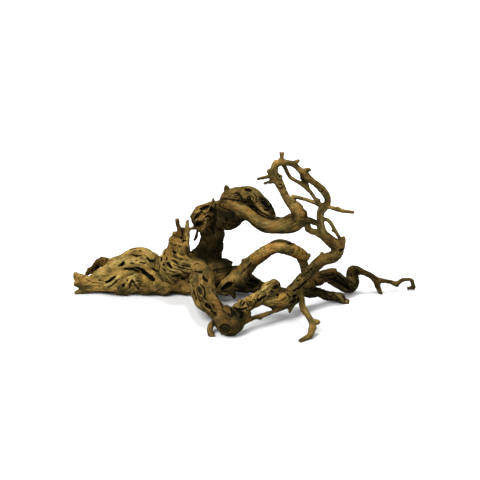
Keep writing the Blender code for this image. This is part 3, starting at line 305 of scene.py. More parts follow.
# Hollows, slots and creases, pressed in along the line of sight: depth, then (across, up, half width).
# A depth below 0 raises a ridge instead.
frontHollows = [
    # The log's broken end
    (6, [(-226, 17, 1.4), (-221, 19, 2.2), (-216, 23, 1.8), (-211, 27, 0.8)]),
    (7, [(-207, 43, 0.8), (-202, 45, 2), (-198, 48, 3.2), (-197.5, 50, 1.5)]),
    (6, [(-197, 40, 0.8), (-192, 39, 1.6), (-188, 38, 2.4), (-184, 39.5, 1)]), (6, [(-198, 12, 3.2)]),
    (4, [(-206, 7.5, 2)]), (3, [(-191, 20, 1.5)]),
    (2.5, [(-238, 20.5, 1.1), (-235, 20, 1.2), (-231, 20, 0.8)]), (2.5, [(-208, 21, 1), (-204, 21.5, 1.4)]),
    (2, [(-201, 24, 1.3), (-199, 25, 0.8)]), (6, [(-243, 41, 2.6)]),
    (1.5, [(-264, 25, 1), (-258, 21, 1), (-250, 17.5, 1), (-240, 15, 1), (-230, 14.5, 1)]),
    (2.5, [(-224, 8, 1), (-217, 12, 1.2), (-212, 17, 1.4), (-208, 21, 1)]),
    (1.5, [(-266, 5.5, 1), (-250, 6, 1.2), (-235, 5.5, 1.2), (-225, 5.5, 1)]),
    (1.2, [(-272, 23, 1), (-269, 18, 1), (-268, 10, 1)]), (1.5, [(-277, 25, 1.2), (-275, 20, 1.4)]),
    (-1.5, [(-229, 12, 1.6), (-222, 13.5, 1.8), (-216, 17, 1.8), (-211, 23, 1.6), (-207, 27, 1.6)]),
    (-1.2, [(-220, 8, 1.4), (-212, 12, 1.6), (-206, 17, 1.8), (-203, 22, 1.4)]),
    # The log's slots and folds
    (4, [(-184, 62, 0.8), (-181, 60.5, 1.3), (-177, 59, 1.6), (-173, 59.8, 1), (-162, 60, 0.6)]),
    (2.5, [(-187, 69, 1.2), (-183, 71, 1.2), (-178, 71.5, 1)]), (2, [(-180, 68, 1.4)]),
    (2.5, [(-172, 68, 1.1), (-170, 68, 1)]),
    (7, [(-160, 56, 1), (-157, 53.5, 1.6), (-154, 51, 2.2), (-151, 50.5, 2.4), (-149, 52, 1.4)]),
    (1.5, [(-151.5, 54, 1), (-151.5, 60, 0.8)]), (3, [(-187, 48, 1), (-184, 47.5, 1.2), (-181, 48, 0.8)]),
    (3, [(-171, 49, 0.8), (-167, 48.5, 1), (-163, 48, 1.4), (-161, 48, 0.8)]),
    (2.5, [(-178, 52, 1.2), (-176, 53, 0.8)]),
    (5, [(-153, 40, 0.8), (-149, 37.5, 1.3), (-145, 35.5, 1.5), (-141, 34.7, 0.8)]),
    (8, [(-180, 41.5, 0.8), (-175, 41, 1.4), (-170, 38.5, 2.2), (-165, 34, 3.2), (-160, 29.5, 3.8),
        (-155, 25, 4), (-150, 21.5, 3.2)]),
    (4, [(-185, 20, 1.2), (-183, 19.5, 1.6), (-181, 17, 1.4)]),
    (3.5, [(-188, 8, 1), (-187, 14, 1.3), (-184.5, 20, 1.4), (-183, 21, 1)]),
    (3.5, [(-183, 21, 1), (-180.5, 16, 1.4), (-177.5, 11, 1.4), (-174, 6, 1.8)]), (3.5, [(-174, 7, 1.8)]),
    (2, [(-188, 28, 0.8), (-185, 30, 1.3), (-182, 29, 0.8)]),
    (1.5, [(-171, 20, 0.8), (-170, 15, 1), (-171, 10, 1), (-172, 4, 1)]), (1.5, [(-151.5, 14, 1)]),
    (1.5, [(-150, 9, 1.4)]), (3, [(-124, 0, 1), (-120, 0.5, 1.5), (-116, 0.3, 0.9)]),
    (3, [(-142, 56, 1), (-141, 50, 1.4), (-139.5, 43, 1.8), (-140, 38, 1)]),
    (-1.8, [(-184, 25, 1.6), (-188, 18, 1.6), (-190, 12, 1.4)]),
    (-1.8, [(-184, 26, 1.6), (-180, 20, 1.6), (-177, 12, 1.4)]), (-1, [(-182.5, 14, 1.2), (-183, 10, 1.2)]),
    (-1.5, [(-240, 30, 2), (-228, 38, 2.4), (-214, 47, 2.6), (-200, 55, 2.4)]),
    (-1.2, [(-127, -2, 1.6), (-120, -3.5, 1.8), (-113, -2, 1.6)]),
    # The knot clump
    (7, [(-126, 48, 1.2), (-124, 47, 2), (-122, 44, 2.4), (-120, 41, 2.2), (-119, 40, 1)]),
    (4.5, [(-122, 54, 0.6), (-118, 53, 1.2), (-114, 50.5, 1.6), (-111, 47.8, 1.3), (-107, 45.5, 0.8),
        (-101, 44, 0.7), (-95, 43, 0.7), (-88, 42, 0.6)]),
    (2.5, [(-117, 46, 0.6), (-113, 44, 1), (-108, 42, 0.9), (-102, 40.5, 0.8), (-95, 39.5, 0.6)]),
    (2, [(-95, 38, 0.6), (-90, 37.5, 0.9), (-87, 38, 0.6)]),
    (-1.2, [(-120, 50, 1), (-112, 46.2, 1), (-104, 43, 1.1), (-99, 42, 0.9)]),
    (2, [(-117, 34.5, 0.6), (-113, 34.3, 1), (-109, 35, 0.6)]),
    (4.5, [(-117, 67, 1.3), (-114.5, 65.3, 1.9), (-112, 64.5, 1)]),
    (3.5, [(-127.5, 57, 0.8), (-128, 54.5, 1.4)]), (4, [(-133.5, 45.5, 1.5)]),
    (4, [(-132.5, 38, 1.5), (-131, 40, 0.8)]), (4, [(-137, 52, 1.8), (-136, 56, 1.8), (-135, 58, 1)]),
    (-1.2, [(-140, 47, 1), (-140.5, 55, 1.3), (-137, 61, 1.3)]),
    (3, [(-132, 63, 1.4), (-130, 66.5, 1), (-129, 70, 0.7)]),
    (3, [(-116, 76, 1), (-113, 77.5, 1.5), (-111, 78.5, 0.8)]),
    (2.5, [(-108.5, 76.5, 1), (-107, 74.5, 1.2)]),
    (1.5, [(-121, 57, 0.6), (-116, 57.8, 0.8), (-112, 57, 0.6)]),
    (4.5, [(-106, 89.5, 1.2), (-104, 88, 1.6)]), (3.5, [(-101, 84.5, 1), (-97, 84.5, 1.3)]),
    (2.5, [(-98, 92, 1.2), (-97.5, 88, 1)]), (3, [(-104.5, 108, 1), (-103, 100, 1), (-101.5, 93, 1)]),
    (1.5, [(-121, 91, 0.8), (-116, 91.5, 1), (-110, 91, 1), (-106, 88, 0.8)]),
    (1.5, [(-96, 108, 0.6), (-95, 97, 0.8), (-94, 90, 0.6)]),
    (2, [(-98, 52, 0.7), (-94, 54, 0.9), (-90, 55.5, 0.7)]),
    (1.5, [(-82, 47.5, 0.6), (-78.5, 48.5, 0.7), (-75, 46.5, 0.8), (-73, 43, 0.7), (-73.5, 39, 0.6)]),
    (2, [(-76.5, 43, 1)]), (1.6, [(-83, 46.5, 0.6), (-84.8, 43, 0.8), (-84, 39, 0.8), (-80.5, 36.5, 0.7)]),
    (2.5, [(-86, 34, 0.8), (-87, 29, 1.6), (-88.5, 24, 2.4)]),
    (5, [(-82, 35, 0.8), (-77, 33.7, 1.2), (-72, 33.5, 1.8), (-69.5, 35, 1)]),
    (7, [(-121, 28, 0.8), (-117, 27.5, 1.6), (-113, 28.5, 2.2), (-109, 28.5, 3), (-106, 28, 3),
        (-103, 25, 2)]),
    (5, [(-103, 24, 1.5), (-99, 22, 1.2), (-94, 20.5, 1.3), (-91, 17.5, 1.8)]),
    # The head, the trunk and the ball burl
    (6, [(-71, 136, 2), (-66, 137, 3), (-62, 138.5, 2.6), (-59, 140.5, 1.2)]),
    (6, [(-56.5, 134, 2.6), (-55, 137, 2.4)]), (2, [(-74, 136, 1), (-73, 133, 0.8)]),
    (4.5, [(-82, 120, 1.4), (-78, 123, 2.2), (-74, 126, 1.6), (-72, 128, 0.8)]),
    (4, [(-66, 122, 0.8), (-63, 124, 1.4), (-60.5, 124, 1.5), (-58, 121.5, 1.2), (-56, 120, 0.8)]),
    (8, [(-80, 110, 4), (-76, 111, 5.6), (-72.5, 112, 4.4)]), (6, [(-55, 109, 2), (-54.5, 105, 2)]),
    (2, [(-57, 120, 0.8), (-56, 112, 1), (-57, 104, 0.8)]),
    (3, [(-52, 112, 1.2), (-51.5, 107, 1), (-52, 100, 0.8)]),
    (4, [(-49, 143, 1), (-50, 136, 1.5), (-49, 128, 2), (-49, 118, 2), (-50, 110, 1.2)]),
    (2.5, [(-52, 97, 1.2), (-53, 94, 1)]), (2.5, [(-63, 93, 1.6)]),
    (-3, [(-83, 117.5, 1.4), (-76, 119, 1.8), (-71, 120, 1.8), (-65.5, 124, 1.8), (-61.5, 127, 1.4)]),
    (-3, [(-64, 120, 1.6), (-64.5, 112.5, 1.8), (-67, 105, 1.8), (-71, 102.5, 1.6)]),
    (-3, [(-55.5, 142, 1.2), (-60.5, 134, 1.4), (-62, 131, 1.8), (-68, 131, 2.4)]),
    (-2.5, [(-82, 128, 2), (-76, 131, 2.6)]), (-2, [(-56, 118, 1.4), (-56.5, 112, 1.4)]),
    (3, [(-88, 126.5, 1.5), (-84, 127, 1.6)]), (2.5, [(-73, 134, 1), (-71, 131, 1)]),
    (-1, [(-61, 133, 1.1), (-59, 137, 1.2), (-57, 140, 1)]), (-1, [(-66, 134, 1.4), (-62, 133, 1.3)]),
    (-2.4, [(-70, 143, 2), (-60, 145.5, 2.4), (-54, 147, 2)]),
    (2.5, [(-43, 140, 1.2), (-36, 137, 1.2), (-28, 133.5, 1.2), (-20, 129, 1.2), (-15, 123, 1.2),
        (-8, 117, 1.2)]),
    (3.5, [(-32, 121, 0.8), (-31.5, 118, 1.1), (-31.5, 112, 0.8)]),
    (4, [(-21.5, 126, 1.6), (-20, 124, 2.2), (-19, 121, 2)]), (1.5, [(-16, 131, 3)]),
    (2.5, [(-38, 151, 1.5), (-30, 151, 1.4), (-20, 149.5, 1.2), (-10, 148, 1.2), (0, 145, 1.2),
        (8, 139, 1.4)]),
    # The burl with the eye knot
    (2.6, ring(7.1, 151.2, 4.6, 4.6, 0.9)), (-1.2, ring(7.1, 151.2, 6.6, 6.4, 1.2)),
    (6, [(6.8, 151.3, 2.2)]), (5, [(-1, 166, 1.6), (2, 165.3, 2.6), (5, 164.8, 2.8), (8.5, 164.5, 1.8)]),
    (3, [(-19, 160, 1), (-15, 161.2, 1.3), (-11, 158.5, 1.3), (-8, 154.5, 1.3), (-6, 149.5, 1.4)]),
    (1.5, [(-17, 157, 0.7), (-13, 156.5, 0.8), (-10, 153, 0.8), (-9, 150, 0.8)]),
    (1.2, [(-18, 153.5, 0.7), (-14, 153, 0.7), (-12, 150.5, 0.7)]),
    (1.5, [(-31, 159, 0.8), (-25, 160, 0.9), (-20, 157.5, 0.8)]),
    (1.2, [(-28, 156.5, 0.7), (-23, 156, 0.8), (-19, 155, 0.6)]),
    (-1.2, [(-34, 154, 1.4), (-28, 155.5, 1.5), (-24, 154, 1.4), (-21, 151, 1)]),
    (-1, [(-10, 162, 1.4), (-6, 157, 1.6), (-3, 150, 1.4)]), (2, [(-21, 159, 1.2)]),
    (1.2, [(-14, 163, 0.8), (-14, 168, 0.8)]), (2, [(13, 159, 1), (16, 155, 1.2), (17, 150, 1)]),
    (-2.2, [(9, 149, 3), (14, 143, 3.8), (20, 137, 3.8), (26, 131.5, 3.6), (32, 127.5, 3.2), (39, 124, 3)]),
    (7, [(2.5, 142.5, 1), (7, 138, 1.5), (11, 134.5, 1.5), (16, 131, 1.6), (21, 127, 1.7), (27, 123.5, 1.7),
        (34, 121, 1.7), (43, 118.5, 1.6)]),
    (4, [(17, 147, 1.3)]), (6, [(25, 146, 1.6), (29, 143, 2.2), (33, 140, 2.4), (37, 137, 2)]),
    (3, [(26, 147, 1), (30, 145.5, 1.2), (34, 143, 1.2)]),
    (4, [(30, 134, 1), (34, 132.5, 1.6), (38, 134, 1.2)]),
    (3, [(23, 151, 1.5), (28, 149.5, 1.8), (33, 147.5, 1.6)]),
    (3, [(40, 140, 2), (44, 133, 2.5), (45, 126, 2.5), (45, 121, 2.5)]),
    (1.5, [(0, 141, 1), (2, 138, 1), (6, 137, 0.8)]),
    # The swan-necked limb and the crown
    (5, [(52.7, 186.3, 1.8)]), (2.5, ring(53.5, 185, 4.6, 4.8, 0.7)),
    (3, [(51.5, 174, 1.2), (55.5, 172.8, 1.6)]),
    (2.5, [(49, 172, 1), (51.5, 168.5, 1.1), (56, 167.8, 1.3), (58.8, 171, 1)]),
    (1.8, ring(90.7, 126.5, 5, 6, 0.8)), (1.2, [(89, 125, 0.8), (91, 128, 0.8)]),
    (2, [(84, 146, 1), (86, 143, 1)]), (2, [(88, 141, 1)]), (1.5, [(77, 150, 1), (79, 151, 0.8)]),
    (2, [(86, 116, 1.2)]), (2, [(72, 130, 1), (74, 124, 1.2), (75, 118, 1.5), (80, 114, 1.2)]),
    (2, [(35, 183, 0.8), (39, 187, 1)]), (1.5, [(39, 181, 1), (41, 177, 1)]),
    # The hoop, its bridges and its knee
    (3, [(120.5, 163, 1.8), (121, 161, 1.2)]), (5, [(151, 69, 2.6), (153, 71, 1.5)]),
    (2, [(125, 118, 1.2)]), (1.5, [(129, 53.5, 0.7), (133, 54, 0.9), (137, 53.5, 0.7)]),
    (2, [(92, 28, 0.8), (95, 32, 1.1), (99, 35, 1.1), (101, 37, 0.8)]), (3, [(103, 38, 1), (105, 41, 1.1)]),
    (3, [(88, 28.5, 1.1), (90, 27, 0.8)]), (2.5, [(81, 20.5, 0.8), (84, 21, 1.2), (86, 22, 0.8)]),
    (1.5, [(80, 24, 0.8), (83, 26, 1)]), (1.2, [(68, 9, 0.7), (73, 14, 0.8), (77, 18, 0.7)]),
    (5, [(75, 4, 1.2), (84.5, 9, 2), (90, 15, 1.3), (98, 22, 1), (103, 26, 0.8)]),
    # The low arch and the back root
    (8, [(-38, 6.5, 1.8), (-34, 9.5, 3.8), (-30, 12, 4.8), (-26, 14, 4.4), (-23, 15, 2.4)]),
    (2, [(-37, 6, 1), (-40, 3, 1), (-42, 0, 0.8)]),
    (4, [(8.5, 49.5, 1), (7, 47, 1.4), (6, 44, 1.1), (3, 41.5, 1.7), (2, 40, 1)]),
    (1.8, [(1, 38, 0.8), (-2, 36.5, 1), (-5, 34, 1), (-7.5, 31, 1)]),
    (1.5, [(-8, 29, 0.8), (-7, 25, 1), (-4, 21, 1), (0, 20, 0.8)]),
    (3, [(66, 80.5, 1.2), (70, 79.5, 1.8), (74, 79.5, 1)]),
    (3, [(30, 56.5, 1), (33, 56.5, 1.6), (36, 57, 0.8)]),
    (1.2, [(38, 72, 0.8), (42, 71, 1), (45, 69, 0.8)]), (1.2, [(28, 66, 0.8), (31, 64, 0.8)]),
    (4, [(85, 68.5, 1.6)]), (1.5, [(82, 72, 0.8), (86, 70, 1), (89, 66, 1), (91, 62, 0.8)]),
    (3, [(101, 58, 1.2)]), (2, [(97, 62, 1)]), (4, [(-22, 42, 1), (-19, 40.5, 1.8), (-16, 39.5, 1.6)]),
    (3, [(2, 13.5, 1), (7, 12.5, 1.4), (12, 12, 1)]), (2.5, [(4, 9.5, 0.8), (9, 9, 1), (15, 9.3, 0.8)]),
    (5, [(5, 30, 2), (8, 25, 3), (12, 20, 3), (17, 17, 2)]), (2, [(14, 6, 0.8), (22, 5.5, 1)]),
    (4, [(-16, 10, 2), (-8, 10, 2.5), (0, 8, 1.5)]),
    # The leg, the elbow and the claw
    (6, [(-68.5, 29, 1.2), (-68, 25, 2.4), (-66, 22.5, 3), (-63, 20.5, 2.6), (-61.5, 19.5, 1.2)]),
    (4.5, [(-73, 14, 1.2), (-70, 12, 1.2), (-67, 8, 1.4), (-65.8, 4, 1.2), (-65.5, 0, 1.2), (-66, -5, 1.6),
        (-65, -9, 1)]),
    (3, [(-76, 9, 3), (-74, 5, 4), (-73, 0, 3)]),
    (4, [(-84, 5, 1.2), (-82.5, 1, 1.3), (-80.5, -5, 1), (-79, -9, 1.2)]),
    (2.5, [(-81, 9, 0.8), (-78, 0, 0.8), (-75, -8, 1), (-73, -15, 1), (-70, -21, 1.3), (-66, -26, 1.2)]),
    (2, [(-74, -5, 0.8), (-73, -10, 1), (-72, -14, 0.8)]),
    (7, [(-64.5, -17.5, 2), (-61, -20, 3.2), (-58, -22, 3), (-55.5, -24, 1.6)]),
    (3.5, [(-53.5, -18, 1), (-51.5, -19, 1.2), (-51.5, -21, 0.8)]),
    (5, [(-55, -28, 1.2), (-51, -30, 1.4), (-48, -33, 1.6), (-47, -35, 0.8)]),
    (5, [(-53, -42, 1), (-51, -47, 1.8), (-50, -52, 2.2), (-49, -55, 1.4)]),
    (4.5, [(-48, -2, 0.8), (-45, -6, 1.2), (-42, -11, 1.6), (-40, -15, 1.8), (-38.5, -19.5, 1.8),
        (-37.5, -23, 0.9)]),
    (3, [(-37.5, -25, 0.9), (-35, -28, 1.2), (-32, -30, 0.9)]),
    (3.5, [(-29, -31, 1), (-26, -33, 1.3), (-23.5, -36, 1)]), (2, [(-44, -43, 1.8)]),
    (7, [(-18, -22, 1.6), (-12, -26, 3), (-7, -31, 3.4), (-8, -37, 2.4)]),
    (4, [(-25, -22, 1.5), (-22, -28, 2), (-21, -34, 2), (-18, -30, 1.5)]),
    (2.4, ring(-34, -54.5, 8.3, 6.2, 1.1)), (3, [(-39, -53.5, 2.2), (-35, -56, 1.6)]),
    (3, [(-32, -53, 1.6), (-30, -57, 2)]), (3, [(-41, -52, 1.6), (-38, -54, 1.2)]),
    (3.5, [(-31, -64.5, 1), (-28, -64.5, 1.4), (-25, -65, 0.8)]),
    (1.2, [(-58, -48, 0.6), (-58, -55, 0.8), (-56, -62, 0.6)]),
    (1.2, [(-54, -52, 0.6), (-54, -60, 0.8), (-53, -66, 0.6)]), (1.2, ring(-83.8, 14.3, 4.3, 4.3, 0.8)),
    # The forearm and the wrist
    (2.4, ring(6.6, -15.7, 5, 4.2, 0.9)), (3, [(4.5, -17, 1.2), (6, -14, 1.4)]),
    (-1.4, [(8.5, -17.5, 1.2), (9.5, -14.5, 1.2)]), (4, [(-2.5, -13, 1.2), (-4, -16, 1.6), (-6, -19, 1.2)]),
    (5, [(-12, -24, 1.8), (-6, -24.5, 1.8), (0, -22, 1.8), (3, -20.5, 1)]),
    (6, [(18, -10.5, 0.9), (22, -8.5, 1.6), (26, -6, 1.5), (31, -3.2, 1), (33, -3, 0.7)]),
    (2.5, [(20, -12, 1.4), (24, -9.5, 1.4)]), (6, [(49.6, -2.1, 2)]),
    (2.5, [(44, 10, 4), (50, 12, 5), (53, 10, 3.5)]), (7, [(45, 9.5, 2), (48, 10.5, 3), (50, 11.5, 1.6)]),
    (5, [(39.5, 4, 1.6), (42, 3.2, 1.6)]), (3, [(52, 16, 1), (55, 11, 1.2), (56, 6, 1)]),
    (2.2, [(19, -3, 0.8), (24.3, 3, 0.9), (29.6, 5, 0.7)]),
    (2, [(33, 14, 0.7), (37, 17, 0.8), (41, 19, 0.6)]), (2, [(31, 6, 0.7), (35, 10, 0.8), (38, 12, 0.6)]),
    (-2, [(55.5, 8, 1.4), (51, 3.5, 1.6), (47.5, 0, 1.4)]),
    (-2, [(33, 5, 1.5), (37, 12, 1.6), (41, 18, 1.8), (46, 21, 1.8), (53, 18.5, 1.6), (58, 11, 1.6),
        (60, 5, 1.4)]),
    (2, [(22, 1, 0.8), (26, 3, 1), (31, 2, 0.8)]), (1.5, [(14, -5, 0.8), (18, -7, 1), (20, -8, 0.8)]),
    (1.5, [(30, -5, 0.7), (38, -5.5, 0.8), (46, -5.5, 0.6)]),
    (1.5, [(32, -7.5, 0.7), (40, -8, 0.8), (48, -7.5, 0.6)]),
    (1.2, [(28, -1, 0.7), (36, 0, 0.8), (42, -1, 0.6)]),
    (2.5, [(13, -8, 0.9), (15, -12, 1.2), (14, -16, 1)]),
    (-1.2, [(0, -11, 1.2), (5, -9, 1.2), (11, -9, 1.2), (14, -12, 1.2)]),
    (3, [(0, -25, 1), (2, -27, 1), (6, -27, 1)]), (3, [(62, 9, 0.9), (63, 6, 1.1), (63, 4, 0.8)]),
    (2.5, [(60, 3, 1.2), (66, -1, 1.4), (70, -6, 1.2)]),
    (5, [(70, -15, 1.2), (75, -12.5, 1.8), (79, -9, 1.6)]),
    (4, [(83, -8, 1.2), (84, -11, 1.8), (83.5, -13.5, 1)]),
    (1.2, [(30, -11, 0.8), (40, -9, 1), (50, -6.5, 0.8)]),
    (1.2, [(46, -12, 0.8), (50, -13, 1), (54, -12, 0.8)]),
    (1.2, [(36, -14, 0.8), (46, -17, 1), (58, -17, 0.8)]), (1.5, [(10, -40.5, 0.8), (16, -37, 0.8)]),
    (1.5, [(88, -22, 0.8), (91, -26, 1), (92, -28, 0.8)]),
    (1.5, [(103, -41, 0.8), (105, -44, 1), (104, -47, 0.8)]),
    (2.5, [(93, 8, 1), (98, 6.5, 1.2), (105, 9, 1)]),
    # The roots
    (7, [(132, 23.5, 1.2), (138, 23, 2), (146, 19.5, 2.4), (154, 15, 2.4), (161, 10, 2.4),
        (167, 6.5, 1.6)]),
    (4, [(146, 30, 1.2), (152, 25, 1.6), (158, 19, 1.6), (165, 13, 1.4)]),
    (3, [(116, 25, 1), (124, 26, 1.4), (132, 27.5, 1.4), (141, 30, 1.2)]),
    (2.5, [(160, 22, 1), (168, 18, 1.2), (174, 14, 1.2), (178, 10, 1)]),
    (3, [(169, 12, 1.2), (174, 8, 1.6), (177, 5, 1)]), (2, [(122, 24, 0.8), (134, 21, 1), (143, 17, 0.8)]),
    (3, [(105, 24, 1.5), (110, 20, 2), (113, 15, 2)]), (2, [(114, 32, 1), (120, 29, 1.2), (128, 30, 1)]),
    (2, [(170, 30, 1), (171, 27, 1.2)]), (3, [(176, 30, 1.5), (180, 33, 2), (179, 37, 1.5)]),
    (1.5, [(186, 33, 0.8), (196, 33.5, 1), (205, 29, 1)]),
    (2, [(200, 29, 1), (208, 24, 1.2), (214, 21, 1)]), (1.5, [(212, 14, 0.8), (214, 8, 1), (217, 2, 0.8)]),
    (2.5, [(97, -1, 1), (104, -2, 1.2), (112, -1, 1)]),
    (3, [(120, 4, 1), (127, 1, 1.2), (133, -4, 1.3), (137, -6, 1)]),
    (2.5, [(136, -5, 1), (143, -3, 1.2), (147, -7, 1)]), (3, [(147, -10, 1.5), (150, -10.5, 1.5)]),
    (2, [(155, -2, 0.8), (158, -8, 1), (160, -13, 0.8)]),
    (-1.2, [(146, -1, 1.4), (151, -5, 1.6), (156, -11, 1.4)]), (3.5, [(133, -12, 1.5), (137, -12.5, 1.2)]),
    (3, [(166, -14, 1.2), (168, -16, 1)]),
]

# The same from behind, where the sight plane leans the other way.
backHollows = [
    (6, [(-232, 11, 1.6), (-218, 16, 2.6), (-205, 15, 1.6)]),
    (8, [(-196, 24, 1.8), (-182, 19, 3.4), (-166, 6, 4)]), (9, [(-146, 17, 4.4), (-139, 12, 5)]),
    (7, [(-126, 28, 2), (-114, 20, 3), (-104, 8, 2.4)]),
    (6, [(-180, 36, 1.6), (-165, 40, 2.4), (-150, 39, 1.8)]), (6, [(-98, 34, 3.4), (-91, 27, 3.8)]),
    (6, [(-66, 42, 2), (-58, 62, 2.8), (-57, 88, 2)]),
    (5, [(-46, 56, 1.6), (-49, 76, 2.2), (-48, 98, 1.6)]), (8, [(-70, 116, 4), (-62, 112, 4.6)]),
    (6, [(-26, 146, 2), (-6, 154, 3), (12, 152, 2)]), (5, [(-4, 134, 1.8), (12, 140, 2.4), (28, 136, 1.8)]),
    (5, [(-42, 32, 2), (-22, 26, 2.8), (-4, 25, 1.8)]), (5, [(4, 92, 1.6), (14, 100, 2)]),
]
